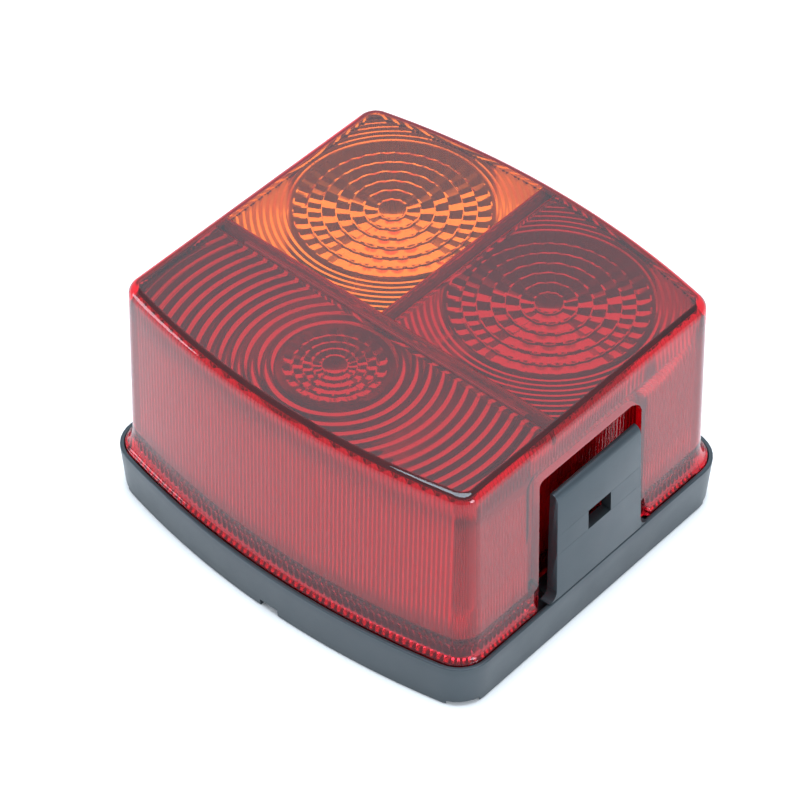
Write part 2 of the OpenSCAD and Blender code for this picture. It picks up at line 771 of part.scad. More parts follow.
// Half profile of a bulb's glass, drawn in by the wall for its hollow
module glass_half(b, inset) {
  r = b[5] / 2 - inset;
  neck = cap_r - cap_wall - fit_gap - inset;
  neck_z = foot_t * 2 - pin_to_contact + inset;
  intersection() {
    union() {
      translate([0, b[4]]) circle(r);
      translate([0, neck_z]) square([neck, b[4] - neck_z]);
    }
    translate([0, -b[4]]) square([b[5], 4 * b[4]]);
  }
}

module bulb_glass(b) {
  color("#eef2f4", 0.35) lay(b) rotate_extrude() difference() {
    glass_half(b, 0);
    glass_half(b, glass_wall);
  }
}

// Glass stem, two support wires and the coiled filament between them
module bulb_filament(b) {
  stem_r = 2.6;
  wire_r = 0.3;
  span = 3;
  stem_z = foot_t * 2 - pin_to_contact + glass_wall;
  color("#8f9296") lay(b) {
    translate([0, 0, stem_z]) cylinder(r = stem_r, h = b[4] / 2 - stem_z);
    for (x = [-1, 1]) translate([x * span * 0.6, 0, b[4] / 2 - cut]) cylinder(r = wire_r, h = b[4] / 2 + cut);
    translate([-span, 0, b[4]]) rotate([0, 90, 0]) cylinder(r = 2 * wire_r, h = 2 * span);
  }
}

base_housing();
lens_gasket();
cable_grommet();
bulb_holder();
holder_screws();
chamber_partition();
terminal_block();
blade_terminals();
feed_strips();
latch_tongue_right();
latch_tongue_left();
lens_red();
amber_pane();
for (b = BULBS) {
  socket_shell(b);
  contact_spring(b);
  contact_disc(b);
  contact_button(b);
  bulb_foot(b);
  bulb_cap(b);
  bulb_glass(b);
  bulb_filament(b);
}
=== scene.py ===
"""Looks of a clip-on trailer tail light, dressed over its packed parts."""

import math
from types import SimpleNamespace

import bmesh
import bpy
import numpy as np
from bpy.props import FloatProperty, FloatVectorProperty, IntProperty, PointerProperty
from mathutils import Matrix, Vector


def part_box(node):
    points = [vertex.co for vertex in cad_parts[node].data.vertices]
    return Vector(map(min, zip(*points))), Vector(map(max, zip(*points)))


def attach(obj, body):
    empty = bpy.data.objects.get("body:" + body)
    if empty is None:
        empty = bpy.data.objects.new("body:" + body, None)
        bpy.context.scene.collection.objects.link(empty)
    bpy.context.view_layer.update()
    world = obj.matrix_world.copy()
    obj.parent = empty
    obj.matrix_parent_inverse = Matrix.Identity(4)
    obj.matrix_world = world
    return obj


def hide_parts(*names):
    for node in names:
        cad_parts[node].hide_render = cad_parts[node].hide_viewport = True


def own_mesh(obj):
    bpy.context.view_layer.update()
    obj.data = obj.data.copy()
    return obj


bl_info = {
    "name": "Trailer Tail Light",
    "version": (1, 0, 0),
    "blender": (4, 5, 0),
    "location": "View3D > Sidebar > Tail Light",
    "description": "Builds the lens, tray, tongues, bulbs and stage of a trailer tail light",
    "category": "Object",
}

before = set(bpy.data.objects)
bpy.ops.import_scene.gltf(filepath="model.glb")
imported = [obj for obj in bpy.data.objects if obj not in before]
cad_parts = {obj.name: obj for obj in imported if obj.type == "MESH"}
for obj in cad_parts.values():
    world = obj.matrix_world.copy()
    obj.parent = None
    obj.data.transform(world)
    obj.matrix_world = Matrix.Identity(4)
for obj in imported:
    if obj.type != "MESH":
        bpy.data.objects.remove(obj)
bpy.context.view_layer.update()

MM = 0.001
# Where each bulb's filament stands in plan, and its height, in millimetres
BULBS = {"indicator": (-22.2, 17.2), "brake": (21.8, 17.2), "tail": (0.8, -26.5)}
BULB_HEIGHT = 30.5
# Half the length of a latch tongue's seat in the tray, and the centre (x, z) of its round root
SEAT_HALF = 14.3
ROOT_X, ROOT_Z = 50.2, 11.8
# Lower and upper edge of a tongue's pry window
WINDOW_Z = (25.5, 30.9)
# Room between the tiles of the lens face, and the width of a divider
TILE_GAP = 0.03
DIVIDER = 3.6
# Slope of a ring of facets, and how far a facet tilts sideways, in degrees
FACET_SLOPE, FACET_TILT = 19, 14


def length(name, description, millimetres):
    """A length property, stored in metres, whose default is given in millimetres."""
    return FloatProperty(
        name=name, description=description, default=millimetres * MM, unit="LENGTH", precision=5
    )


def colour(name, description, red, green, blue):
    """A colour property in linear light."""
    return FloatVectorProperty(
        name=name, description=description, default=(red, green, blue), subtype="COLOR", min=0, max=1
    )


class TraySizes(bpy.types.PropertyGroup):
    """Sizes of the black tray and its tongues."""

    half_x: length("Half width", "From the middle to a straight side", 52.0)
    half_y: length("Half length", "From the middle to the middle of a bowed side", 49.5)
    bow: length("Bow", "How far a bowed side stands out", 6.8)
    corner: length("Corner", "Corner radius", 8.5)
    rim: length("Rim height", "Height of the rim", 12.2)
    draft: length("Draft", "How far the rim leans in at its foot", 0.9)
    wall: length("Rim wall", "Thickness of the rim wall", 2.4)
    lip: length("Lip", "Thickness of the lip around the lens", 1.1)
    ledge: length("Ledge", "Height of the ledge under the gasket", 9.0)
    tongue_width: length("Tongue width", "Width of a latch tongue at its top", 27.1)
    tongue_flare: length("Tongue flare", "How far each edge of a tongue spreads towards its foot", 0.5)
    tongue_top: length("Tongue top", "Height of a tongue's top", 42.2)
    tongue_bevel: length("Tongue bevel", "Height of the round bevel along a tongue's top", 1.8)


class LensSizes(bpy.types.PropertyGroup):
    """Sizes of the lens walls and face."""

    half_x: length("Half width", "From the middle to a straight wall's foot", 49.3)
    half_y: length("Half length", "From the middle to a bowed wall's foot", 46.5)
    bow: length("Bow", "How far a bowed wall stands out", 6.4)
    corner: length("Corner", "Corner radius at the wall's foot", 6.0)
    top: length("Face height", "Height of the face", 58.9)
    taper: length("Taper", "How far the walls lean in", 1.1)
    edge: length("Edge radius", "Radius of the edge around the face", 2.4)
    wall: length("Wall", "Wall thickness", 2.4)
    skirt_top: length("Skirt height", "Height at which the flare meets the wall", 17.0)
    pocket_low: length("Pocket near edge", "Y of a pocket's nearer edge", -17.2)
    pocket_high: length("Pocket far edge", "Y of a pocket's farther edge", 16.0)
    pocket_x: length("Pocket back", "From the middle to a pocket's back wall", 44.3)
    pocket_top: length("Pocket top", "Height of a pocket's ceiling", 48.0)
    pocket_near: length("Pocket near corner", "Radius of a pocket's nearer upper corner", 1.5)
    pocket_far: length("Pocket far corner", "Radius of a pocket's farther upper corner", 4.5)
    skirt_end: length("Skirt end", "Y at which the flared skirt ends beside a pocket", 18.4)
    amber_x: length("Amber border X", "Border of the amber pane across X", -1.5)
    amber_y: length("Amber border Y", "Border of the amber pane across Y", -9.6)
    rib_depth: length("Rib depth", "Depth of the upright ribs inside the walls", 0.45)


class OpticSizes(bpy.types.PropertyGroup):
    """Rings and facets under the lens face."""

    large_disc: length("Large disc", "Radius of the faceted disc under a large bulb", 21.3)
    large_eye: length("Large eye", "Radius of the plain eye in a large disc", 3.0)
    large_rings: IntProperty(
        name="Large rings", description="Rings of facets in a large disc", default=6, min=3, max=10
    )
    small_disc: length("Small disc", "Radius of the faceted disc under the tail bulb", 10.6)
    small_eye: length("Small eye", "Radius of the plain eye in the small disc", 2.6)
    small_rings: IntProperty(
        name="Small rings", description="Rings of facets in the small disc", default=4, min=2, max=8
    )
    wave: length("Fine wave", "Pitch of the fine arcs around a large disc", 1.45)
    tail_rib: length("Tail rib", "Pitch of the wide arcs around the small disc", 2.75)


class Finishes(bpy.types.PropertyGroup):
    """Colours of the light's materials."""

    red: colour("Red lens", "Colour of light through the red lens", 0.72, 0.02, 0.035)
    # On the face tiles this colour shows only where clear is below 0.7: the painted-bright corners beside the
    # brake disc.
    red_deep: colour("Red optics", "Colour of the red lens's formed inner side", 0.85, 0.25, 0.35)
    red_wall: colour("Red wall", "Colour of the red lens's ribbed inner walls", 0.6, 0.05, 0.085)
    red_lit: colour("Red glow", "Colour of daylight caught in the red lens", 0.75, 0.025, 0.06)
    amber: colour("Amber pane", "Colour of light through the amber pane", 0.92, 0.36, 0.03)
    # This colour shows only where clear is below 0.7: the painted-bright corners beside the amber disc.
    amber_deep: colour("Amber optics", "Colour of the amber pane's formed inner side", 0.95, 0.72, 0.2)
    amber_lit: colour("Amber glow", "Colour of daylight caught in the amber pane", 0.8, 0.215, 0.045)
    black: colour("Black plastic", "Colour of the tray", 0.015, 0.0175, 0.0195)
    steel: colour("Plated steel", "Colour of the bulb holder", 0.56, 0.57, 0.56)
    brass: colour("Brass", "Colour of caps and terminals", 0.71, 0.50, 0.20)
    floor: colour("Floor", "Colour of the floor", 0.90, 0.90, 0.90)


def in_mm(group):
    """The group's lengths in millimetres, and its other values as they are."""
    values = {}
    for key, rna in group.bl_rna.properties.items():
        if key in {"rna_type", "name"}:
            continue
        value = getattr(group, key)
        values[key] = value / MM if rna.type == "FLOAT" and rna.array_length == 0 else value
    return SimpleNamespace(**values)


# Meshes


def add_object(name, mesh, material, body, sharp=35):
    """Links a mesh in metres as a piece, with smooth shading up to an angle."""
    mesh.validate()
    mesh.polygons.foreach_set("use_smooth", [True] * len(mesh.polygons))
    mesh.set_sharp_from_angle(angle=math.radians(sharp))
    mesh.materials.clear()
    mesh.materials.append(material)
    piece = bpy.data.objects.new(name, mesh)
    bpy.context.scene.collection.objects.link(piece)
    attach(piece, body)
    return piece


def welded(bm, name, gap=0.002):
    """A mesh in metres from a bmesh in millimetres, with doubled points joined."""
    bmesh.ops.remove_doubles(bm, verts=bm.verts, dist=gap)
    bmesh.ops.dissolve_degenerate(bm, dist=gap / 4, edges=bm.edges)
    bmesh.ops.scale(bm, vec=(MM, MM, MM), verts=bm.verts)
    mesh = bpy.data.meshes.new(name)
    bm.to_mesh(mesh)
    bm.free()
    return mesh


def bmesh_of(points, faces):
    """A bmesh from points and faces."""
    bm = bmesh.new()
    verts = [bm.verts.new(p) for p in points]
    for face in faces:
        bm.faces.new([verts[i] for i in face])
    return bm


def close_sections(bm, sections):
    """Joins a row of like outlines into a closed solid."""
    count = len(sections[0])
    for one, two in zip(sections, sections[1:]):
        for i in range(count):
            j = (i + 1) % count
            bm.faces.new((one[i], one[j], two[j], two[i]))
    bm.faces.new(sections[0][::-1])
    bm.faces.new(sections[-1])
    bmesh.ops.recalc_face_normals(bm, faces=bm.faces)


def carve(mesh, cutters, operation="DIFFERENCE"):
    """The mesh after boolean work with other meshes, all in metres."""
    piece = bpy.data.objects.new("carving", mesh)
    bpy.context.scene.collection.objects.link(piece)
    tools = []
    for cutter in cutters:
        tool = bpy.data.objects.new("cutter", cutter)
        bpy.context.scene.collection.objects.link(tool)
        tools.append(tool)
        step = piece.modifiers.new("carve", "BOOLEAN")
        step.operation = operation
        step.solver = "EXACT"
        step.object = tool
    bpy.context.view_layer.update()
    carved = piece.evaluated_get(bpy.context.evaluated_depsgraph_get())
    result = bpy.data.meshes.new_from_object(carved)
    for item in [piece] + tools:
        bpy.data.objects.remove(item)
    return result


def block_mesh(low, high):
    """A box between two corners in millimetres."""
    bm = bmesh.new()
    bmesh.ops.create_cube(bm, size=1)
    for v in bm.verts:
        v.co = [low[i] + (v.co[i] + 0.5) * (high[i] - low[i]) for i in range(3)]
    return welded(bm, "block")


def rod_mesh(radius, depth, place, segments=48):
    """A round rod in millimetres, along the Z of its place."""
    bm = bmesh.new()
    bmesh.ops.create_cone(
        bm, cap_ends=True, segments=segments, radius1=radius, radius2=radius, depth=depth, matrix=place
    )
    return welded(bm, "rod")


def post_mesh(x, y, radius, z0, z1):
    """An upright round post in millimetres."""
    return rod_mesh(radius, z1 - z0, Matrix.Translation((x, y, (z0 + z1) / 2)))


def tube(bm, path, radius, sides=8):
    """Adds a round wire along a path to a bmesh."""
    path = [Vector(p) for p in path]
    side = (path[1] - path[0]).orthogonal().normalized()
    rings = []
    for i, p in enumerate(path):
        along = (path[min(i + 1, len(path) - 1)] - path[max(i - 1, 0)]).normalized()
        side = (side - along * side.dot(along)).normalized()
        other = along.cross(side)
        turns = [2 * math.pi * k / sides for k in range(sides)]
        around = [side * math.cos(w) + other * math.sin(w) for w in turns]
        rings.append([bm.verts.new(p + a * radius) for a in around])
    for low, high in zip(rings, rings[1:]):
        for k in range(sides):
            bm.faces.new((low[k], low[(k + 1) % sides], high[(k + 1) % sides], high[k]))
    bm.faces.new(rings[0][::-1])
    bm.faces.new(rings[-1])


def turned(bm, profile, sides=32):
    """Adds a solid turned about Y from (radius, y) steps that start and end on the axis."""
    rings = []
    for r, y in profile:
        turns = [2 * math.pi * k / sides for k in range(sides)]
        rings.append([bm.verts.new((r * math.cos(w), y, r * math.sin(w))) for w in turns])
    for low, high in zip(rings, rings[1:]):
        for k in range(sides):
            bm.faces.new((low[k], high[k], high[(k + 1) % sides], low[(k + 1) % sides]))


# Outlines with straight sides across X and bowed sides across Y


def half_counts(spacing):
    """Samples on each stretch of half an outline."""
    spans = {"side": 18, "cheek": 5, "back": 31, "corner": 8, "bow": 82}
    order = ["side", "cheek", "back", "cheek", "side", "corner", "bow", "corner"]
    return [max(2, round(spans[key] / spacing)) for key in order]


def outline(half_x, half_y, bow, corner, inset, counts, pocket, pocket_x=None):
    """Points of an outline, anticlockwise. With pocket_x the straight sides step in to that X.

    pocket is the (low, high) Y between which the side at +X steps in. The side at -X is the same after
    half a turn.
    """
    bow_r = (half_x**2 + bow**2) / (2 * bow)
    bow_y = half_y - bow_r
    cx = half_x - corner
    cy = bow_y + math.sqrt((bow_r - corner) ** 2 - cx**2)
    turn = math.atan2(cy - bow_y, cx)
    a, r, big = half_x - inset, corner - inset, bow_r - inset
    back = a if pocket_x is None else pocket_x
    low, high = pocket
    stops = [(a, -cy), (a, low), (back, low), (back, high), (a, high), (a, cy)]
    legs = list(zip(stops, stops[1:]))
    points = []
    for count, (start, end) in zip(counts, legs):
        t = np.arange(count)[:, None] / count
        points.append(np.array(start) * (1 - t) + np.array(end) * t)
    arcs = [((cx, cy), r, 0.0, turn), ((0, bow_y), big, turn, math.pi - turn)]
    arcs += [((-cx, cy), r, math.pi - turn, math.pi)]
    for count, ((x, y), radius, start, end) in zip(counts[5:], arcs):
        w = start + (end - start) * np.arange(count) / count
        points.append(np.stack([x + radius * np.cos(w), y + radius * np.sin(w)], axis=1))
    half = np.concatenate(points)
    return np.concatenate([half, -half])


def pocket_span(lens, z, wall):
    """Low and high Y of a pocket at a height, grown all round by a wall."""
    span = []
    near = (lens.pocket_low, lens.pocket_near, 1)
    far = (lens.pocket_high, lens.pocket_far, -1)
    for edge, corner, sign in (near, far):
        r = corner + wall
        up = min(r, max(0.0, z - (lens.pocket_top - corner)))
        span.append(edge + sign * (r - math.sqrt(r * r - up * up) - wall))
    return span


def inward(points):
    """Unit vectors that point into a closed anticlockwise outline."""
    tangent = np.roll(points, -1, axis=0) - np.roll(points, 1, axis=0)
    size = np.linalg.norm(tangent, axis=1, keepdims=True)
    tangent = np.divide(tangent, size, out=np.zeros_like(tangent), where=size > 1e-9)
    return np.stack([-tangent[:, 1], tangent[:, 0]], axis=1)


def loft_points(rings):
    """Stacks (points, height) rings into one array of 3D points."""
    return np.concatenate([np.column_stack([p, np.full(len(p), z)]) for p, z in rings])


def loft_faces(count, layers, closed):
    """Quads between successive rings, joined end to end if closed."""
    i = np.arange(count)
    j = (i + 1) % count
    faces = []
    for k in range(layers if closed else layers - 1):
        low, high = k * count, ((k + 1) % layers) * count
        faces.append(np.stack([low + i, low + j, high + j, high + i], axis=1))
    return np.concatenate(faces).tolist()


# Materials


def new_material(name, **inputs):
    """A material with one Principled shader, whose sockets take plain values."""
    material = bpy.data.materials.new(name)
    material.use_nodes = True
    shader = material.node_tree.nodes["Principled BSDF"]
    for key, value in inputs.items():
        shader.inputs[key.replace("_", " ")].default_value = value
    return material, material.node_tree, shader


def object_noise(tree, scale, detail=4.0, stretch=(1, 1, 1)):
    """A noise in object space, in metres, with its scale stretched along the axes."""
    place = tree.nodes.new("ShaderNodeTexCoord")
    shape = tree.nodes.new("ShaderNodeMapping")
    shape.inputs["Scale"].default_value = stretch
    noise = tree.nodes.new("ShaderNodeTexNoise")
    noise.inputs["Scale"].default_value = scale
    noise.inputs["Detail"].default_value = detail
    tree.links.new(place.outputs["Object"], shape.inputs["Vector"])
    tree.links.new(shape.outputs["Vector"], noise.inputs["Vector"])
    return noise.outputs["Fac"]


def spread(tree, value, low, high):
    """Maps a 0 to 1 value to a range."""
    node = tree.nodes.new("ShaderNodeMapRange")
    node.inputs["To Min"].default_value = low
    node.inputs["To Max"].default_value = high
    tree.links.new(value, node.inputs["Value"])
    return node.outputs["Result"]


def shade_between(tree, value, dark, light):
    """A colour ramp between two colours."""
    ramp = tree.nodes.new("ShaderNodeValToRGB")
    ramp.color_ramp.elements[0].color = (*dark, 1)
    ramp.color_ramp.elements[1].color = (*light, 1)
    ramp.color_ramp.elements[0].position = 0.3
    ramp.color_ramp.elements[1].position = 0.7
    tree.links.new(value, ramp.inputs["Fac"])
    return ramp.outputs["Color"]


def roughen(tree, shader, value, depth, strength=1.0):
    """Bump from a value, with its depth in metres."""
    bump = tree.nodes.new("ShaderNodeBump")
    bump.inputs["Distance"].default_value = depth
    bump.inputs["Strength"].default_value = strength
    tree.links.new(value, bump.inputs["Height"])
    tree.links.new(bump.outputs["Normal"], shader.inputs["Normal"])


def tinted(base, factor):
    """A colour made lighter or darker."""
    return tuple(min(1.0, c * factor) for c in base)


def product(tree, one, two):
    """Two sockets multiplied."""
    times = tree.nodes.new("ShaderNodeMath")
    times.operation = "MULTIPLY"
    tree.links.new(one, times.inputs[0])
    tree.links.new(two, times.inputs[1])
    return times.outputs["Value"]


def mesh_value(tree, layer):
    """A value carried by the mesh's points."""
    node = tree.nodes.new("ShaderNodeAttribute")
    node.attribute_name = layer
    return node.outputs["Fac"]


def lens_material(name, base, deep, lit):
    """Glossy clear plastic that glows where light is caught inside it.

    The mesh's "clear" value is 1 on the polished outside and less on the formed inside, which has the
    deep colour. "cloud" says how cloudy the plastic is, and "edge" marks the top band of the walls and
    the round edge, where the glow colour is darkened as painted shade. Seen from within the plastic, the
    outside lets in daylight. On hits from the front, a near-black diffuse is mixed in by 1 - clear:
    painted shade, which stands for the dark inside of the lamp and darkens the skirt.
    """
    material, tree, shader = new_material(name, IOR=1.49, Specular_Tint=(0.8, 0.95, 1.0, 1.0))
    clear, cloud, edge = (mesh_value(tree, layer) for layer in ("clear", "cloud", "edge"))
    tone = shade_between(tree, clear, deep, base)
    blotch = tree.nodes.new("ShaderNodeHueSaturation")
    tree.links.new(tone, blotch.inputs["Color"])
    tree.links.new(spread(tree, object_noise(tree, 60, 3), 0.93, 1.05), blotch.inputs["Value"])
    tree.links.new(blotch.outputs["Color"], shader.inputs["Base Color"])
    through = product(tree, spread(tree, clear, 0.72, 1.0), spread(tree, cloud, 1.0, 0.3))
    tree.links.new(through, shader.inputs["Transmission Weight"])
    tree.links.new(spread(tree, object_noise(tree, 900, 5), 0.01, 0.05), shader.inputs["Roughness"])
    glow = tree.nodes.new("ShaderNodeBsdfTranslucent")
    # Where "edge" is 1 the glow colour falls to 0.3 of the lit colour: painted shade along the top band of
    # the walls and the round edge.
    tree.links.new(shade_between(tree, edge, lit, tinted(lit, 0.3)), glow.inputs["Color"])
    polished = tree.nodes.new("ShaderNodeMapRange")
    polished.inputs["From Min"].default_value = 0.92
    tree.links.new(clear, polished.inputs["Value"])
    back = tree.nodes.new("ShaderNodeNewGeometry").outputs["Backfacing"]
    glowing = product(tree, back, polished.outputs["Result"])
    # On front-facing hits a near-black diffuse, 0.08 of the glow colour, is mixed in by 1 - clear: painted
    # shade for the dark inside of the lamp.
    painted_shade_share = product(tree, spread(tree, back, 1.0, 0.0), spread(tree, clear, 1.0, 0.0))
    painted_shade = tree.nodes.new("ShaderNodeBsdfDiffuse")
    painted_shade.inputs["Color"].default_value = (*(0.08 * c for c in lit), 1)
    surface = shader.outputs["BSDF"]
    for share, other in ((glowing, glow), (painted_shade_share, painted_shade)):
        both = tree.nodes.new("ShaderNodeMixShader")
        tree.links.new(share, both.inputs["Fac"])
        tree.links.new(surface, both.inputs[1])
        tree.links.new(other.outputs["BSDF"], both.inputs[2])
        surface = both.outputs["Shader"]
    tree.links.new(surface, tree.nodes["Material Output"].inputs["Surface"])
    return material


def black_plastic(name, base):
    """Satin black plastic with a fine moulded grain."""
    material, tree, shader = new_material(
        name, IOR=1.5, Specular_IOR_Level=0.7, Specular_Tint=(0.68, 0.87, 1.0, 1.0)
    )
    tone = shade_between(tree, object_noise(tree, 45, 5), tinted(base, 0.8), tinted(base, 1.3))
    tree.links.new(tone, shader.inputs["Base Color"])
    tree.links.new(spread(tree, object_noise(tree, 160, 6), 0.30, 0.46), shader.inputs["Roughness"])
    roughen(tree, shader, object_noise(tree, 5200, 3), 0.00003, 0.5)
    return material


def metal(name, base, rough, stretch=(1, 1, 1)):
    """Metal with drawn marks along one axis and uneven gloss."""
    material, tree, shader = new_material(name, Metallic=1.0)
    marks = object_noise(tree, 420, 6, stretch)
    tone = shade_between(tree, marks, tinted(base, 0.72), tinted(base, 1.12))
    tree.links.new(tone, shader.inputs["Base Color"])
    tree.links.new(spread(tree, marks, rough * 0.7, rough * 1.4), shader.inputs["Roughness"])
    roughen(tree, shader, marks, 0.00002, 0.4)
    return material


def matt(name, base, rough):
    """Matt moulded rubber or plastic."""
    material, tree, shader = new_material(name)
    blotch = object_noise(tree, 120, 5)
    tone = shade_between(tree, blotch, tinted(base, 0.75), tinted(base, 1.25))
    tree.links.new(tone, shader.inputs["Base Color"])
    gloss = spread(tree, blotch, rough * 0.85, min(1.0, rough * 1.15))
    tree.links.new(gloss, shader.inputs["Roughness"])
    roughen(tree, shader, object_noise(tree, 3000, 3), 0.00004, 0.5)
    return material


def bulb_glass():
    """Clear blown glass with a faint ripple."""
    material, tree, shader = new_material("bulb glass", IOR=1.5, Transmission_Weight=1.0)
    ripple = object_noise(tree, 90, 2)
    tone = shade_between(tree, ripple, (0.94, 0.96, 0.97), (0.98, 0.99, 1.0))
    tree.links.new(tone, shader.inputs["Base Color"])
    tree.links.new(spread(tree, ripple, 0.0, 0.02), shader.inputs["Roughness"])
    return material


# Tray


def tray_mesh(tray, lens):
    """The tray as one loft from the floor's underside out over the rim and down to the floor's top."""
    counts = half_counts(1.2)
    floor_low, floor_high, floor_wall = 3.0, 5.5, 2.5
    play, upstand, upstand_top = 0.5, 1.8, 15.5
    upstand_out = lens.wall + play
    upstand_in = upstand_out + upstand

    def rim(inset):
        return outline(tray.half_x, tray.half_y, tray.bow, tray.corner, inset, counts, (-17.0, 17.0))

    def plan(inset):
        return outline(
            lens.half_x, lens.half_y, lens.bow, lens.corner, inset, counts,
            pocket_span(lens, 0.0, inset), lens.pocket_x - inset,
        )

    foot_in, under_ledge = tray.draft + tray.wall, tray.ledge - floor_wall
    rings = [(plan(upstand_in - floor_wall), floor_low), (plan(upstand_in - floor_wall), under_ledge)]
    rings += [(rim(foot_in), under_ledge), (rim(foot_in), 0.0), (rim(tray.draft + 0.25), 0.0)]
    rings += [(rim(tray.draft - 0.02), 0.25)]
    for step in range(1, 6):
        z = 0.25 + (tray.rim - 0.6) * step / 5
        rings.append((rim(tray.draft * (1 - z / tray.rim)), z))
    for w in (30, 60, 90):
        w = math.radians(w)
        rings.append((rim(0.35 * (1 - math.cos(w))), tray.rim - 0.35 + 0.35 * math.sin(w)))
    rings += [(rim(tray.lip - 0.2), tray.rim), (rim(tray.lip), tray.rim - 0.2)]
    rings += [(rim(tray.lip), tray.ledge)]
    rings += [(plan(upstand_out), tray.ledge), (plan(upstand_out), upstand_top - 0.3)]
    rings += [(plan(upstand_out + 0.3), upstand_top), (plan(upstand_in - 0.3), upstand_top)]
    rings += [(plan(upstand_in), upstand_top - 0.3), (plan(upstand_in), floor_high)]
    count = len(rings[0][0])
    faces = loft_faces(count, len(rings), False)
    last = (len(rings) - 1) * count
    faces += [list(range(count))[::-1], list(range(last, last + count))]
    return welded(bmesh_of(loft_points(rings), faces), "tray")


class TAILLIGHT_OT_tray(bpy.types.Operator):
    """Build the black tray with its rim, lip, upstand, bosses and notches"""

    bl_idname = "taillight.tray"
    bl_label = "Tray"

    def execute(self, context):
        tray, lens = in_mm(context.scene.taillight_tray), in_mm(context.scene.taillight_lens)
        mesh = tray_mesh(tray, lens)
        mount_x, mount_y, outer_x = (-22.5, 22.5), 12, 51.45
        bosses = [post_mesh(x, mount_y, 6, 0, 7) for x in mount_x]
        spans = ((47.1, outer_x), (-outer_x, -47.1))
        cradles = [block_mesh((low, -13.8, 8.8), (high, 13.8, ROOT_Z)) for low, high in spans]
        mesh = carve(mesh, bosses + cradles, "UNION")
        holes = [post_mesh(x, mount_y, 2.75, -1, 8) for x in mount_x]
        holes += [post_mesh(x, -15.9, 1.6, 2, 6.5) for x in (-26, 26)]  # the holder's screws
        holes.append(post_mesh(-27.3, -31, 5.5, -1, 7))  # the grommet
        lying = Matrix.Rotation(math.pi / 2, 4, "X")
        for side in (1, -1):
            low, high = sorted((side * 43.5, side * 53.0))
            holes.append(block_mesh((-1.5, low, -1), (3.5, high, 2.0)))  # drain notch
            low, high = sorted((side * ROOT_X, side * outer_x))
            holes.append(block_mesh((low, -SEAT_HALF, 11.7), (high, SEAT_HALF, 13)))
            groove = Matrix.Translation((side * ROOT_X, 0, ROOT_Z)) @ lying
            holes.append(rod_mesh(1.16, 2 * SEAT_HALF, groove, 40))
        for sx, sy in ((1, 1), (1, -1), (-1, 1), (-1, -1)):
            notch = bmesh.new()  # corner notch
            place = Matrix.Translation((sx * 47.75, sy * 39.45, 0.1))
            place = place @ Matrix.Rotation(sx * sy * math.pi / 4, 4, "Z")
            bmesh.ops.create_cube(notch, size=1, matrix=place @ Matrix.Diagonal((18, 7, 2.2, 1)))
            holes.append(welded(notch, "notch"))
        mesh = carve(mesh, holes)
        piece = add_object("tray", mesh, bpy.data.materials["black plastic"], "base", 30)
        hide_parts("base_housing")
        return {"FINISHED"}


def tongue_mesh(tray):
    """A tongue at +X: a springy leaning strip with a bead along its top, a pry window and foot fillets."""
    half, top = tray.tongue_width / 2, tray.tongue_top
    foot_x, foot_z, top_x, bevel_z = 51.85, tray.rim + 0.3, 50.6, top - tray.tongue_bevel
    root_r, ease_r = 1.1, 0.15
    root = [
        (ROOT_X + root_r * math.sin(w), ROOT_Z - root_r * math.cos(w))
        for w in np.linspace(-math.pi / 2, math.pi / 2, 9)
    ]
    face = [(ROOT_X + root_r, foot_z), (foot_x, foot_z)]
    for z in WINDOW_Z:  # a fine mould line runs across at each edge of the window
        x = foot_x + (top_x - foot_x) * (z - foot_z) / (bevel_z - foot_z)
        face += [(x, z - 0.035), (x - 0.05, z), (x, z + 0.035)]
    face.append((top_x, bevel_z - 0.12))
    bead = [
        (top_x - 0.08 - 1.57 * (1 - math.cos(w)), bevel_z + tray.tongue_bevel * math.sin(w))
        for w in np.linspace(0.06, math.pi / 2, 10)
    ]
    crown = [(48.65, top), (48.47, top - 0.07), (48.4, top - 0.25), (48.47, 37.5), (48.52, 33.0)]
    profile = root + face + bead + crown
    front = range(len(root) + 1, len(root) + len(face) + len(bead))

    def edge(z):
        return half + tray.tongue_flare * min(1.0, (top - z) / (top - foot_z))

    bm = bmesh.new()
    sections = []
    for side, inset in ((-1, 0.0), (-1, 0.05), (-1, ease_r), (1, ease_r), (1, 0.05), (1, 0.0)):
        ease = ease_r * (1 - math.sqrt(1 - (1 - inset / ease_r) ** 2))
        section = []
        for i, (x, z) in enumerate(profile):
            place = (x - (ease if i in front else 0.0), side * (edge(z) - inset), z)
            section.append(bm.verts.new(place))
        sections.append(section)
    close_sections(bm, sections)
    body = welded(bm, "tongue")

    quarter = np.linspace(0, math.pi / 2, 7)
    hook = [(48.9, 36.9), (45.97, 35.0), (45.92, 34.9)]
    hook += [(46.82 - 0.9 * math.cos(w), 34.1 - 0.9 * math.sin(w)) for w in quarter]
    hook += [(49.2, 33.2), (49.2, 36.9)]
    bm = bmesh.new()
    close_sections(bm, [[bm.verts.new((x, y, z)) for x, z in hook] for y in (-10, 10)])
    added = [welded(bm, "hook")]
    foot_half, foot_back, size = half + tray.tongue_flare, 49.1, 2.2
    quarter = np.linspace(0, math.pi / 2, 9)
    arc = [(size - size * math.cos(w), size - size * math.sin(w)) for w in quarter]
    fillet = [(-1.0, 0.0), *arc[::-1], (-1.0, size)]
    for side in (1, -1):
        bm = bmesh.new()
        ends = [
            [bm.verts.new((x, side * (foot_half + u), foot_z + v)) for u, v in fillet]
            for x in (foot_back, foot_x - 0.1)
        ]
        close_sections(bm, ends)
        added.append(welded(bm, "fillet"))
    body = carve(body, added, "UNION")
    low, high = WINDOW_Z
    return carve(body, [block_mesh((44, -3.7, low), (54, 3.7, high))])


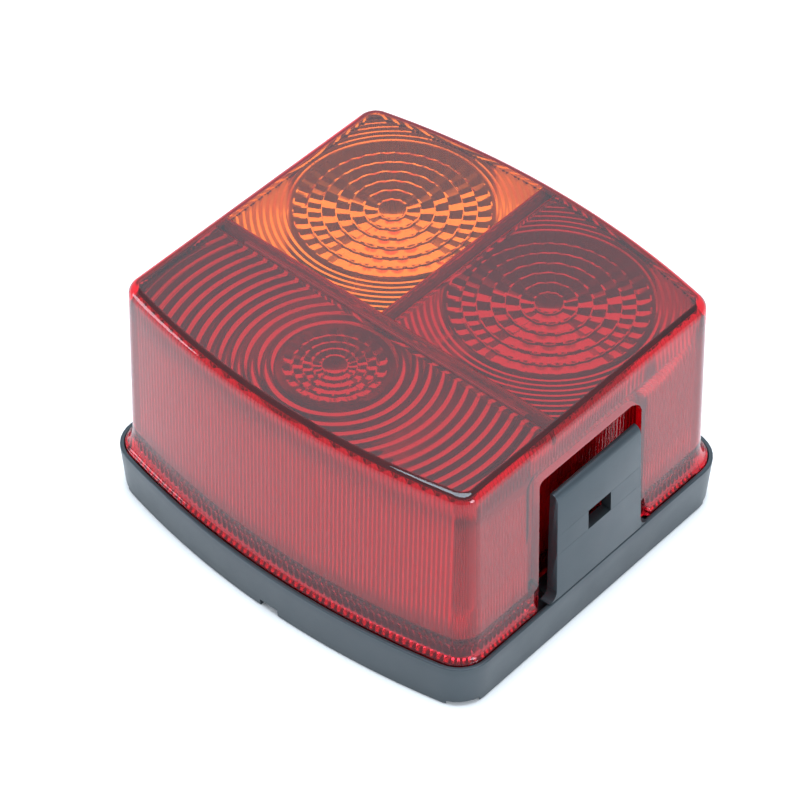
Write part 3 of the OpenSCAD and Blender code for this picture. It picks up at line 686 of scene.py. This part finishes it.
class TAILLIGHT_OT_tongues(bpy.types.Operator):
    """Build the two latch tongues"""

    bl_idname = "taillight.tongues"
    bl_label = "Latch tongues"

    def execute(self, context):
        right = tongue_mesh(in_mm(context.scene.taillight_tray))
        left = right.copy()
        left.transform(Matrix.Rotation(math.pi, 4, "Z"))
        black = bpy.data.materials["black plastic"]
        for side, mesh in (("right", right), ("left", left)):
            piece = add_object(f"tongue_{side}", mesh, black, f"latch_{side}", 30)
            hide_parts(f"latch_tongue_{side}")
        return {"FINISHED"}


# Lens


def lens_wall_mesh(tray, lens):
    """Skirt, flare, ribbed walls, pockets and round edge of the lens as one closed loft."""
    per_rib = 4
    counts = half_counts(1.0 / per_rib)
    total = 2 * sum(counts)
    phase = np.arange(total) % per_rib / per_rib
    # Points on the cheeks of the pockets, and all but those on the pockets' backs
    cheeks, plain = np.zeros(total, bool), np.ones(total, bool)
    for start in (0, sum(counts)):
        for leg in (1, 3):
            begin = start + sum(counts[:leg])
            cheeks[begin : begin + counts[leg]] = True
        begin = start + sum(counts[:2])
        plain[begin + 1 : begin + counts[2]] = False
    flat = pocket_span(lens, lens.pocket_top, 0.0)
    open_span = pocket_span(lens, 0.0, 0.0)
    play, back_rib = 0.15, 0.25

    def wall(inset, span, pocket_x=None):
        return outline(lens.half_x, lens.half_y, lens.bow, lens.corner, inset, counts, span, pocket_x)

    foot = wall(0.0, open_span, lens.pocket_x)

    def skirt(inset):
        flared = outline(
            tray.half_x, tray.half_y, tray.bow, tray.corner, tray.lip + play + inset, counts,
            open_span, lens.pocket_x,
        )
        reach = np.clip((np.abs(flared[:, 1]) - lens.skirt_end) / 1.1, 0, 1)[:, None]
        return foot + (flared - foot) * np.sqrt(1 - (1 - reach) ** 2)

    edge_z = lens.top - lens.edge

    def lean(z):
        return lens.taper * max(0.0, z - lens.skirt_top) / (edge_z - lens.skirt_top)

    def ribbed(points, depth, still=None):
        wave = (0.5 - 0.5 * np.cos(2 * np.pi * phase)) * depth
        if still is not None:
            wave = np.where(still, 0.0, wave)
        return points + inward(points) * wave[:, None]

    foot_z, skirt_z = tray.ledge + 2.0, tray.rim + 0.5
    rings = [(skirt(0.2), foot_z), (skirt(0.0), foot_z + 0.2), (skirt(0.0), skirt_z - 0.3)]
    rings += [(skirt(0.1), skirt_z - 0.08), (skirt(0.35), skirt_z)]
    brim = skirt(0.35)
    for u in np.linspace(0, 1, 8)[1:]:
        across = 0.45 * u + 0.55 * math.sin(u * math.pi / 2)
        rise = 0.45 * u + 0.55 * (1 - math.cos(u * math.pi / 2))
        rings.append((brim * (1 - across) + foot * across, skirt_z + (lens.skirt_top - skirt_z) * rise))

    def arch(top, grown):
        """Heights at which a pocket's round upper corners are drawn."""
        arcs = [(lens.pocket_near + grown, 5), (lens.pocket_far + grown, 9)]
        return [top - r + r * math.sin(w) for r, n in arcs for w in np.linspace(0, math.pi / 2, n)]

    low_walls = np.linspace(lens.skirt_top + 2, lens.pocket_top - lens.pocket_far, 4)
    for z in sorted({round(z, 3) for z in [*low_walls, *arch(lens.pocket_top, 0.0)]}):
        plan = wall(lean(z), pocket_span(lens, z, 0.0), lens.pocket_x)
        rings.append((ribbed(plan, back_rib, plain), z))
    for z in np.linspace(lens.pocket_top, edge_z, 3):
        rings.append((wall(lean(z), flat), z))
    for w in np.linspace(0, 1, 9)[1:] * math.pi / 2:
        plan = wall(lens.taper + lens.edge * (1 - math.cos(w)), flat)
        rings.append((plan, edge_z + lens.edge * math.sin(w)))
    under = lens.top - lens.wall
    rings.append((wall(lens.taper + lens.edge, flat), under))
    outer_rings = len(rings)

    def inside(z, span, pocket_x=None):
        return wall(lens.wall + lean(z), span, pocket_x)

    depth = lens.rib_depth
    in_x, in_top = lens.pocket_x - lens.wall, lens.pocket_top + lens.wall
    in_flat = pocket_span(lens, in_top, lens.wall)
    rings.append((inside(under, in_flat), under - 0.05))
    rings.append((ribbed(inside(under, in_flat), depth, cheeks), under - 0.35))
    rings.append((ribbed(inside(in_top, in_flat), depth, cheeks), in_top))
    heights = [*arch(in_top, lens.wall), 35.0, 26.0, lens.skirt_top + 0.6]
    for z in sorted({round(z, 3) for z in heights}, reverse=True):
        rings.append((ribbed(inside(z, pocket_span(lens, z, lens.wall), in_x), depth), z))
    bare = inside(lens.skirt_top, pocket_span(lens, 0.0, lens.wall), in_x)
    rings.append((bare, lens.skirt_top + 0.2))
    low_stud, high_stud, prism_width = 0.05, 0.4, 3
    between = bare + inward(bare) * low_stud
    for row, (z0, z1) in enumerate(((16.2, 14.7), (14.3, 12.9))):
        raised = (np.arange(total) // prism_width + row) % 2 == 0
        stud = bare + inward(bare) * np.where(raised, high_stud, low_stud)[:, None]
        rings += [(between, z0 + 0.2), (stud, z0), (stud, z1), (between, z1 - 0.2)]
    rings.append((bare, foot_z))
    bm = bmesh_of(loft_points(rings), loft_faces(total, len(rings), True))
    clear, cloud, edge = (bm.verts.layers.float.new(name) for name in ("clear", "cloud", "edge"))
    for i, v in enumerate(bm.verts):
        if i < outer_rings * total:
            # The outer skirt is set to 0.9: no glow, and a tenth of painted shade mixed in, which darkens it.
            v[clear] = 1.0 if v.co.z > lens.skirt_top else 0.9
            # Above the pockets the outer wall and round edge get "edge", so their glow is painted darker as
            # shade.
            v[edge] = 1.0 if v.co.z > lens.pocket_top + 2 else 0.0
        # Inside, the walls keep clear at 0, so hits from within the lamp show only painted shade; the inner
        # skirt at 0.8 shows a fifth of it.
        elif v.co.z < lens.skirt_top:
            v[clear] = 0.8
        else:
            v[cloud] = 0.42
    return welded(bm, "lens wall")


def face_outline(lens):
    """Plan of the face inside its round edge, anticlockwise."""
    counts = [2, 2, 2, 2, 2, 7, 16, 7]
    inset = lens.taper + lens.edge + TILE_GAP
    points = outline(lens.half_x, lens.half_y, lens.bow, lens.corner, inset, counts, (-11.7, 11.7))
    kept = [points[0]]
    for p in points[1:]:
        if np.linalg.norm(p - kept[-1]) > 0.05:
            kept.append(p)
    return kept


def clipped(polygon, axis, limit, keep_above):
    """A convex polygon cut at x or y = limit."""
    sign = 1 if keep_above else -1
    out = []
    for i, p in enumerate(polygon):
        q = polygon[(i + 1) % len(polygon)]
        dp, dq = sign * (p[axis] - limit), sign * (q[axis] - limit)
        if dp >= 0:
            out.append(p)
        if (dp >= 0) != (dq >= 0):
            t = dp / (dp - dq)
            out.append(p + (q - p) * t)
    return out


def straight_edges(polygon):
    """Edges of a polygon as (point, outward normal), with edges in line joined."""
    edges = []
    for i, p in enumerate(polygon):
        q = polygon[(i + 1) % len(polygon)]
        d = q - p
        size = np.linalg.norm(d)
        if size < 1e-4:
            continue
        normal = np.array([d[1], -d[0]]) / size
        if edges and np.dot(edges[-1][1], normal) > 0.999999:
            continue
        edges.append((p, normal))
    return edges


def tile_mesh(name, bm, polygon, top, disc=None, haze=0.05):
    """A tile of the face: a formed underside trimmed to a convex plan, with sides and a flat top.

    bm holds the underside. disc is the (centre, radius) of its rings; the two corners beside it along one
    fixed plan direction are made cloudy and deep-coloured, painted light that makes them look brighter.
    haze is how cloudy the rest is.
    """
    edges = straight_edges(polygon)
    for point, normal in edges:
        bmesh.ops.bisect_plane(
            bm, geom=bm.verts[:] + bm.edges[:] + bm.faces[:], dist=1e-5,
            plane_co=(*point, 0), plane_no=(*normal, 0), clear_outer=True,
        )
    rim = {}
    for edge in list(bm.edges):
        if len(edge.link_faces) != 1:
            continue
        a, b = (np.array(v.co[:2]) for v in edge.verts)
        if np.linalg.norm(a - b) < 1e-4:
            continue
        for point, normal in edges:
            if abs(np.dot(a - point, normal)) < 2e-4 and abs(np.dot(b - point, normal)) < 2e-4:
                p, q = edge.verts
                if np.dot(b - a, (-normal[1], normal[0])) < 0:
                    p, q = q, p
                high = []
                for v in (p, q):
                    key = (round(v.co.x, 3), round(v.co.y, 3))
                    if key not in rim:
                        rim[key] = bm.verts.new((v.co.x, v.co.y, top))
                    high.append(rim[key])
                if high[0] != high[1]:
                    bm.faces.new((p, q, high[1], high[0]))
                break
    middle = np.mean(polygon, axis=0)
    around = sorted(rim.values(), key=lambda v: math.atan2(v.co.y - middle[1], v.co.x - middle[0]))
    bm.faces.new(around)
    clear, cloud = (bm.verts.layers.float.new(layer) for layer in ("clear", "cloud"))
    for v in bm.verts:
        if v.co.z > top - 0.01:
            v[clear] = 1.0
            continue
        # Painted light: past the disc along the plan direction (0.75, 0.66) the underside turns cloudy and
        # deep-coloured, so those two corners look brighter. The rest keeps clear at 0.85, which leaves 0.15
        # of painted shade on hits from within the lamp.
        beside = 0.0
        if disc:
            (x, y), radius = disc
            past = abs(0.75 * (v.co.x - x) + 0.66 * (v.co.y - y)) - radius
            beside = min(1.0, max(0.0, past / 2))
        v[clear] = 0.85 - 0.6 * beside
        v[cloud] = max(haze, 0.45 * beside)
    return welded(bm, name, 0.001)


def ringed_underside(centre, z, radii, facets, waves):
    """Rings of tilted facets about a centre, then smooth waves further out, all facing down.

    radii are the rings' borders. Each ring drops along a narrow step, then climbs by the slope.
    facets gives the facets in a ring, which tilt to one side and the other by turns.
    waves are the (radius, depth) steps outside.
    """
    sectors, step = 144, 0.7
    slope, tilt = (math.tan(math.radians(v)) for v in (FACET_SLOPE, FACET_TILT))
    angles = 2 * math.pi * np.arange(sectors) / sectors

    def sway(ring):
        """Depths of a ring's facets about their middle, swinging from facet to facet."""
        phase = (np.arange(sectors) * facets[ring] / sectors + ring) % 2
        return np.abs(phase - 1) - 0.5

    eye = radii[0]
    steps = [(eye * k / 3, np.full(sectors, 0.1 + 0.55 * (1 - (k / 3) ** 2))) for k in range(1, 4)]
    for ring, (low, high) in enumerate(zip(radii, radii[1:])):
        width = math.pi * (low + high) / facets[ring]
        swing = sway(ring) * width * tilt
        drop = (high - low - step) * slope
        lift = swing - swing.min() + 0.1
        steps += [(low + 0.2, lift + drop - 0.17), (low + step, lift + drop), (high, lift)]
    steps += [(r + 0.02, np.full(sectors, d)) for r, d in waves]
    points = [(*centre, z - 0.65)]
    for r, depth in steps:
        x, y = centre[0] + r * np.cos(angles), centre[1] + r * np.sin(angles)
        points += np.column_stack([x, y, z - depth]).tolist()
    j = np.arange(sectors)
    faces = np.column_stack([np.zeros(sectors, int), 1 + (j + 1) % sectors, 1 + j]).tolist()
    for k in range(len(steps) - 1):
        low, high = 1 + k * sectors, 1 + (k + 1) * sectors
        after = (j + 1) % sectors
        faces += np.column_stack([low + j, low + after, high + after, high + j]).tolist()
    return bmesh_of(points, faces)


def wave_steps(start, end, pitch, height, steps=6, floor=0.12):
    """(radius, depth) steps of round waves from one radius to another."""
    out, r, k = [(start, floor)], start, 0
    while r < end:
        k += 1
        r = start + pitch * k / steps
        out.append((r, floor + height * (0.5 - 0.5 * math.cos(2 * math.pi * k / steps))))
    return out


def strip_underside(low, high, z, profile, along, dash):
    """A strip of the face with ridges along it, and dashes in its first row."""
    points, faces = [], []
    span = high[along] - low[along]
    cells = max(2, round(span / 1.7))

    def at(u, s, depth):
        p = [0, 0, z - depth]
        p[1 - along], p[along] = u, low[along] + span * s
        points.append(p)
        return len(points) - 1

    for c in range(cells):
        s0, s1 = c / cells, (c + 1) / cells
        for row, ((u0, d0), (u1, d1)) in enumerate(zip(profile, profile[1:])):
            sink = dash if row == 1 and c % 2 else 0.0
            quad = [at(u0, s0, d0), at(u0, s1, d0 + sink), at(u1, s1, d1), at(u1, s0, d1)]
            faces.append(quad if along == 1 else quad[::-1])
    bm = bmesh_of(points, faces)
    bmesh.ops.remove_doubles(bm, verts=bm.verts, dist=0.0005)
    return bm


def even_radii(eye, disc, rings):
    """Borders of evenly spaced rings between an eye and a disc's edge."""
    return [eye + (disc - eye) * i / rings for i in range(rings + 1)]


def large_underside(lens, optic, centre):
    """Underside of the face about a large bulb's filament."""
    under = lens.top - lens.wall
    radii = even_radii(optic.large_eye, optic.large_disc, optic.large_rings)
    facets = [24, 24, 36, 36, 72, 72, 72, 72, 72, 72]
    waves = [(optic.large_disc + 0.3, 0.12)]
    waves += wave_steps(optic.large_disc + 0.9, 48, optic.wave, 0.42)
    return ringed_underside(centre, under, radii, facets, waves)


def tail_underside(lens, optic):
    """Underside of the face about the tail bulb's filament."""
    radii = even_radii(optic.small_eye, optic.small_disc, optic.small_rings)
    waves = [(optic.small_disc + 0.3, 0.12)]
    waves += wave_steps(optic.small_disc + 1.6, 62, optic.tail_rib, 0.75, 8)
    return ringed_underside(BULBS["tail"], lens.top - lens.wall, radii, [36] * 8, waves)


class TAILLIGHT_OT_red_lens(bpy.types.Operator):
    """Build the red lens: ribbed walls, brake and tail faces and the dividers"""

    bl_idname = "taillight.red_lens"
    bl_label = "Red lens"

    def execute(self, context):
        scene = context.scene
        tray, lens = in_mm(scene.taillight_tray), in_mm(scene.taillight_lens)
        optic = in_mm(scene.taillight_optics)
        red, face = bpy.data.materials["red lens"], bpy.data.materials["red face"]
        wall = add_object("lens_wall", lens_wall_mesh(tray, lens), red, "lens", 75)
        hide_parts("lens_red")
        plan, top, under = face_outline(lens), lens.top, lens.top - lens.wall
        x0, y0, gap = lens.amber_x, lens.amber_y, TILE_GAP
        face_haze, divider_haze, dash = 0.18, 0.4, 0.45

        brake_plan = clipped(clipped(plan, 0, x0 + DIVIDER + gap, True), 1, y0 + gap, True)
        disc = (BULBS["brake"], optic.large_disc)
        bm = large_underside(lens, optic, disc[0])
        brake = tile_mesh("brake face", bm, brake_plan, top, disc, face_haze)
        tail_plan = clipped(plan, 1, y0 - DIVIDER - gap, False)
        tail = tile_mesh("tail face", tail_underside(lens, optic), tail_plan, top, haze=face_haze)

        ridge = [(0.0, 0.1), (0.5, 0.1), (1.3, 0.5), (1.4, 2.4)]
        ridge += [(2.4, 2.4), (2.5, 0.4), (3.1, 0.2), (DIVIDER, 0.1)]
        strip = clipped(clipped(plan, 0, x0 + gap, True), 0, x0 + DIVIDER, False)
        profile = [(x0 + u - 0.01 + 0.005 * u, d) for u, d in ridge]
        bm = strip_underside((x0, y0 - 1), (x0 + DIVIDER, 50), under, profile, 1, dash)
        upright = tile_mesh("divider", bm, clipped(strip, 1, y0 + gap, True), top, haze=divider_haze)
        strip = clipped(clipped(plan, 1, y0, False), 1, y0 - DIVIDER, True)
        profile = [(y0 - u + 0.01 - 0.005 * u, d) for u, d in ridge]
        bm = strip_underside((-50, y0 - DIVIDER), (50, y0), under, profile[::-1], 0, dash)
        level = tile_mesh("divider", bm, strip, top, haze=divider_haze)

        tiles = {"brake_face": brake, "tail_face": tail, "divider_upright": upright, "divider_level": level}
        for name, mesh in tiles.items():
            add_object(name, mesh, face, "lens", 25)
        for side, name in ((1, "lens_catch_right"), (-1, "lens_catch_left")):
            shape = [(44.33, 27.7), (47.12, 31.7), (47.12, 32.7), (44.33, 32.7)]
            bm = bmesh.new()
            close_sections(bm, [[bm.verts.new((side * x, y, z)) for x, z in shape] for y in (-5, 5)])
            # The catch is set to 0.9: no glow, and a tenth of painted shade mixed in.
            clear = bm.verts.layers.float.new("clear")
            for v in bm.verts:
                v[clear] = 0.9
            add_object(name, welded(bm, "catch"), red, "lens", 25)
        return {"FINISHED"}


class TAILLIGHT_OT_amber_pane(bpy.types.Operator):
    """Build the amber pane with its rings of facets"""

    bl_idname = "taillight.amber_pane"
    bl_label = "Amber pane"

    def execute(self, context):
        scene = context.scene
        lens, optic = in_mm(scene.taillight_lens), in_mm(scene.taillight_optics)
        plan = clipped(face_outline(lens), 0, lens.amber_x, False)
        plan = clipped(plan, 1, lens.amber_y + TILE_GAP, True)
        disc = (BULBS["indicator"], optic.large_disc)
        mesh = tile_mesh("amber pane", large_underside(lens, optic, disc[0]), plan, lens.top, disc)
        pane = add_object("amber_face", mesh, bpy.data.materials["amber pane"], "lens", 25)
        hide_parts("amber_pane")
        return {"FINISHED"}


# Bulbs and fittings

NODE_MATERIALS = {
    "lens_gasket": "rubber",
    "cable_grommet": "rubber",
    "bulb_holder": "plated steel",
    "holder_screws": "screw steel",
    "chamber_partition": "black plastic",
    "terminal_block": "block plastic",
    "blade_terminals": "brass",
    "feed_strips": "brass",
}
BULB_MATERIALS = {
    "socket_shell": "tinned brass",
    "contact_disc": "insulating board",
    "contact_button": "brass",
    "bulb_foot": "bulb foot",
    "bulb_cap": "brass",
    "bulb_glass": "bulb glass",
}


class TAILLIGHT_OT_materials(bpy.types.Operator):
    """Make the materials of every piece"""

    bl_idname = "taillight.materials"
    bl_label = "Materials"

    def execute(self, context):
        look = context.scene.taillight_finishes
        lens_material("red lens", tuple(look.red), tuple(look.red_wall), tuple(look.red_lit))
        lens_material("red face", tuple(look.red), tuple(look.red_deep), tinted(look.red_lit, 0.5))
        lens_material("amber pane", tuple(look.amber), tuple(look.amber_deep), tuple(look.amber_lit))
        black_plastic("black plastic", tuple(look.black))
        matt("rubber", (0.012, 0.012, 0.012), 0.75)
        matt("block plastic", (0.035, 0.037, 0.042), 0.5)
        matt("insulating board", (0.16, 0.075, 0.03), 0.6)
        matt("bulb foot", (0.012, 0.012, 0.015), 0.2)
        metal("plated steel", tuple(look.steel), 0.3, (1, 1, 0.15))
        metal("screw steel", tinted(look.steel, 1.15), 0.25)
        metal("spring wire", tinted(look.steel, 0.9), 0.28)
        metal("brass", tuple(look.brass), 0.24)
        metal("tinned brass", (0.62, 0.56, 0.42), 0.32)
        metal("filament", (0.35, 0.36, 0.37), 0.3)
        bulb_glass()
        return {"FINISHED"}


class TAILLIGHT_OT_filaments(bpy.types.Operator):
    """Build each bulb's glass stem, support wires and coiled filament"""

    bl_idname = "taillight.filaments"
    bl_label = "Filaments"

    def execute(self, context):
        for bulb, (x, y) in BULBS.items():
            reach = 19.0 if bulb == "tail" else 31.8
            bm = bmesh.new()
            low, high = -3.2, reach / 2
            stem = [(0.0, low), (2.6, low), (2.6, low + 1.5), (1.9, low + 3.0)]
            stem += [(1.7, high - 2.5), (1.9, high - 0.6), (1.5, high - 0.1), (0.0, high)]
            turned(bm, stem)
            for side in (-1, 1):
                wire = [(side * 1.0, high - 1.5, 0), (side * 1.1, high + 0.6, 0), (side * 2.3, high + 3.0, 0)]
                wire += [(side * 2.7, reach - 2.0, 0), (side * 2.7, reach - 0.3, 0), (side * 2.5, reach, 0)]
                tube(bm, wire, 0.22)
            turns, radius, half = 15, 0.42, 2.7
            coil = []
            for i in range(10 * turns + 1):
                t = i / (10 * turns)
                w = 2 * math.pi * turns * t
                coil.append((2 * half * t - half, reach + radius * math.sin(w), radius * math.cos(w)))
            tube(bm, coil, 0.09, 6)
            bmesh.ops.recalc_face_normals(bm, faces=bm.faces)
            if bulb == "tail":
                bmesh.ops.rotate(bm, verts=bm.verts, cent=(0, 0, 0), matrix=Matrix.Rotation(math.pi, 3, "Z"))
            shift = (x, y + reach if bulb == "tail" else y - reach, BULB_HEIGHT)
            bmesh.ops.translate(bm, verts=bm.verts, vec=shift)
            mesh = welded(bm, f"{bulb} filament", 0.001)
            wires = bpy.data.materials["filament"]
            piece = add_object(f"{bulb}_filament_wires", mesh, wires, f"{bulb}_bulb", 40)
            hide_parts(f"{bulb}_bulb_filament")
        return {"FINISHED"}


class TAILLIGHT_OT_springs(bpy.types.Operator):
    """Build the springs behind the contacts as fixed coils sized from the packed springs; in the lamp they
    shorten as a bulb is pushed in
    """

    bl_idname = "taillight.springs"
    bl_label = "Contact springs"

    def execute(self, context):
        wire, turns, travel = 0.8, 3.5, 2.0
        for bulb in BULBS:
            low, high = (np.array(corner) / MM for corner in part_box(f"{bulb}_contact_spring"))
            disc = np.array(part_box(f"{bulb}_contact_disc")[0]) / MM
            middle, size = (low + high) / 2, high - low
            away = 1 if disc[1] > middle[1] else -1
            foot = middle[1] - away * size[1] / 2
            radius = (size[2] - wire) / 2
            sweep = np.linspace(0, 2 * math.pi * turns, 85)
            rise = wire / 2 + (size[1] - wire) * sweep / sweep[-1]
            coil = np.column_stack(
                [middle[0] + radius * np.cos(sweep), foot + away * rise, middle[2] + radius * np.sin(sweep)]
            )
            bm = bmesh.new()
            tube(bm, coil.tolist(), wire / 2, 10)
            bmesh.ops.recalc_face_normals(bm, faces=bm.faces)
            steel = bpy.data.materials["spring wire"]
            piece = add_object(f"{bulb}_spring_coil", welded(bm, "spring"), steel, "base", 50)
            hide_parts(f"{bulb}_contact_spring")
            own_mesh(piece)
        return {"FINISHED"}


class TAILLIGHT_OT_fittings(bpy.types.Operator):
    """Give the bulbs, sockets, holder, wiring and seals their materials"""

    bl_idname = "taillight.fittings"
    bl_label = "Bulbs and fittings"

    def execute(self, context):
        wanted = dict(NODE_MATERIALS)
        for bulb in BULBS:
            wanted.update({f"{bulb}_{part}": name for part, name in BULB_MATERIALS.items()})
        for node, name in wanted.items():
            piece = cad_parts[node]
            piece.data.materials.clear()
            piece.data.materials.append(bpy.data.materials[name])
        return {"FINISHED"}


# Stage


class TAILLIGHT_OT_stage(bpy.types.Operator):
    """Set the pale floor, the soft light and the camera"""

    bl_idname = "taillight.stage"
    bl_label = "Stage"

    def execute(self, context):
        scene = context.scene
        scene.view_settings.view_transform = "Standard"
        floor_colour = tuple(scene.taillight_finishes.floor)
        material, _, shader = new_material("floor", Roughness=0.9, Specular_IOR_Level=0.0)
        shader.inputs["Base Color"].default_value = (*floor_colour, 1)
        half = 6.0
        corners = [(-half, -half, 0), (half, -half, 0), (half, half, 0), (-half, half, 0)]
        mesh = bpy.data.meshes.new("floor")
        mesh.from_pydata(corners, [], [(0, 1, 2, 3)])
        mesh.materials.append(material)
        floor = bpy.data.objects.new("floor", mesh)
        floor.location.z = -0.0002
        scene.collection.objects.link(floor)
        world = bpy.data.worlds.new("studio")
        world.use_nodes = True
        scene.world = world
        sky = world.node_tree.nodes["Background"]
        sky.inputs["Color"].default_value = (0.92, 1.0, 1.1, 1)
        sky.inputs["Strength"].default_value = 0.9
        for name, place, width, power in (
            ("overhead light", (0.0, 0.0, 1.1), 0.8, 14.0),
            ("far light", (-0.42, 0.48, 0.66), 0.6, 0.9),
            ("side light", (1.0, -0.1, 0.3), 0.4, 5.0),
            ("left light", (-0.8, -0.6, 0.3), 0.4, 3.0),
        ):
            data = bpy.data.lights.new(name, "AREA")
            data.shape = "DISK"
            data.size = width
            data.energy = power
            data.color = (0.85, 0.93, 1.0)
            lamp = bpy.data.objects.new(name, data)
            lamp.location = place
            aim = Vector((0, 0, 0.03)) - Vector(place)
            lamp.rotation_euler = aim.to_track_quat("-Z", "Y").to_euler()
            scene.collection.objects.link(lamp)
        azimuth, elevation, roll = (math.radians(v) for v in (41.4954, 45.0802, 0.1161))
        flat = math.cos(elevation)
        back = Vector((math.sin(azimuth) * flat, -math.cos(azimuth) * flat, math.sin(elevation)))
        right = Vector((math.cos(azimuth), math.sin(azimuth), 0))
        up = back.cross(right)
        across = right * math.cos(roll) + up * math.sin(roll)
        raised = up * math.cos(roll) - right * math.sin(roll)
        data = bpy.data.cameras.new("camera")
        data.sensor_width = 36
        data.lens = 162.874
        data.clip_start = 0.01
        camera = bpy.data.objects.new("camera", data)
        place = Matrix((across, raised, back)).transposed().to_4x4()
        place.translation = Vector((363.153, -415.840, 580.447)) * MM
        camera.matrix_world = place
        scene.collection.objects.link(camera)
        scene.camera = camera
        return {"FINISHED"}


class TAILLIGHT_PT_panel(bpy.types.Panel):
    """Lists the steps that build the tail light"""

    bl_idname = "TAILLIGHT_PT_panel"
    bl_label = "Tail Light"
    bl_space_type = "VIEW_3D"
    bl_region_type = "UI"
    bl_category = "Tail Light"

    def draw(self, context):
        for name, group in GROUPS.items():
            box = self.layout.box()
            box.label(text=group.__doc__)
            settings = getattr(context.scene, name)
            for key in group.__annotations__:
                box.prop(settings, key)
        for step in STEPS:
            self.layout.operator(step.bl_idname)


GROUPS = {
    "taillight_tray": TraySizes,
    "taillight_lens": LensSizes,
    "taillight_optics": OpticSizes,
    "taillight_finishes": Finishes,
}
STEPS = (
    TAILLIGHT_OT_materials,
    TAILLIGHT_OT_stage,
    TAILLIGHT_OT_tray,
    TAILLIGHT_OT_tongues,
    TAILLIGHT_OT_red_lens,
    TAILLIGHT_OT_amber_pane,
    TAILLIGHT_OT_filaments,
    TAILLIGHT_OT_springs,
    TAILLIGHT_OT_fittings,
)


def register():
    """Make the classes and the scene's settings known to Blender."""
    for cls in (*GROUPS.values(), *STEPS, TAILLIGHT_PT_panel):
        bpy.utils.register_class(cls)
    for name, group in GROUPS.items():
        setattr(bpy.types.Scene, name, PointerProperty(type=group))


def unregister():
    """Take them away again."""
    for name in GROUPS:
        delattr(bpy.types.Scene, name)
    for cls in (TAILLIGHT_PT_panel, *STEPS[::-1], *list(GROUPS.values())[::-1]):
        bpy.utils.unregister_class(cls)


def main():
    """Build the whole scene."""
    register()
    bpy.ops.taillight.materials()
    bpy.ops.taillight.stage()
    bpy.ops.taillight.tray()
    bpy.ops.taillight.tongues()
    bpy.ops.taillight.red_lens()
    bpy.ops.taillight.amber_pane()
    bpy.ops.taillight.filaments()
    bpy.ops.taillight.springs()
    bpy.ops.taillight.fittings()
    bpy.context.view_layer.update()


if __name__ == "__main__":
    main()
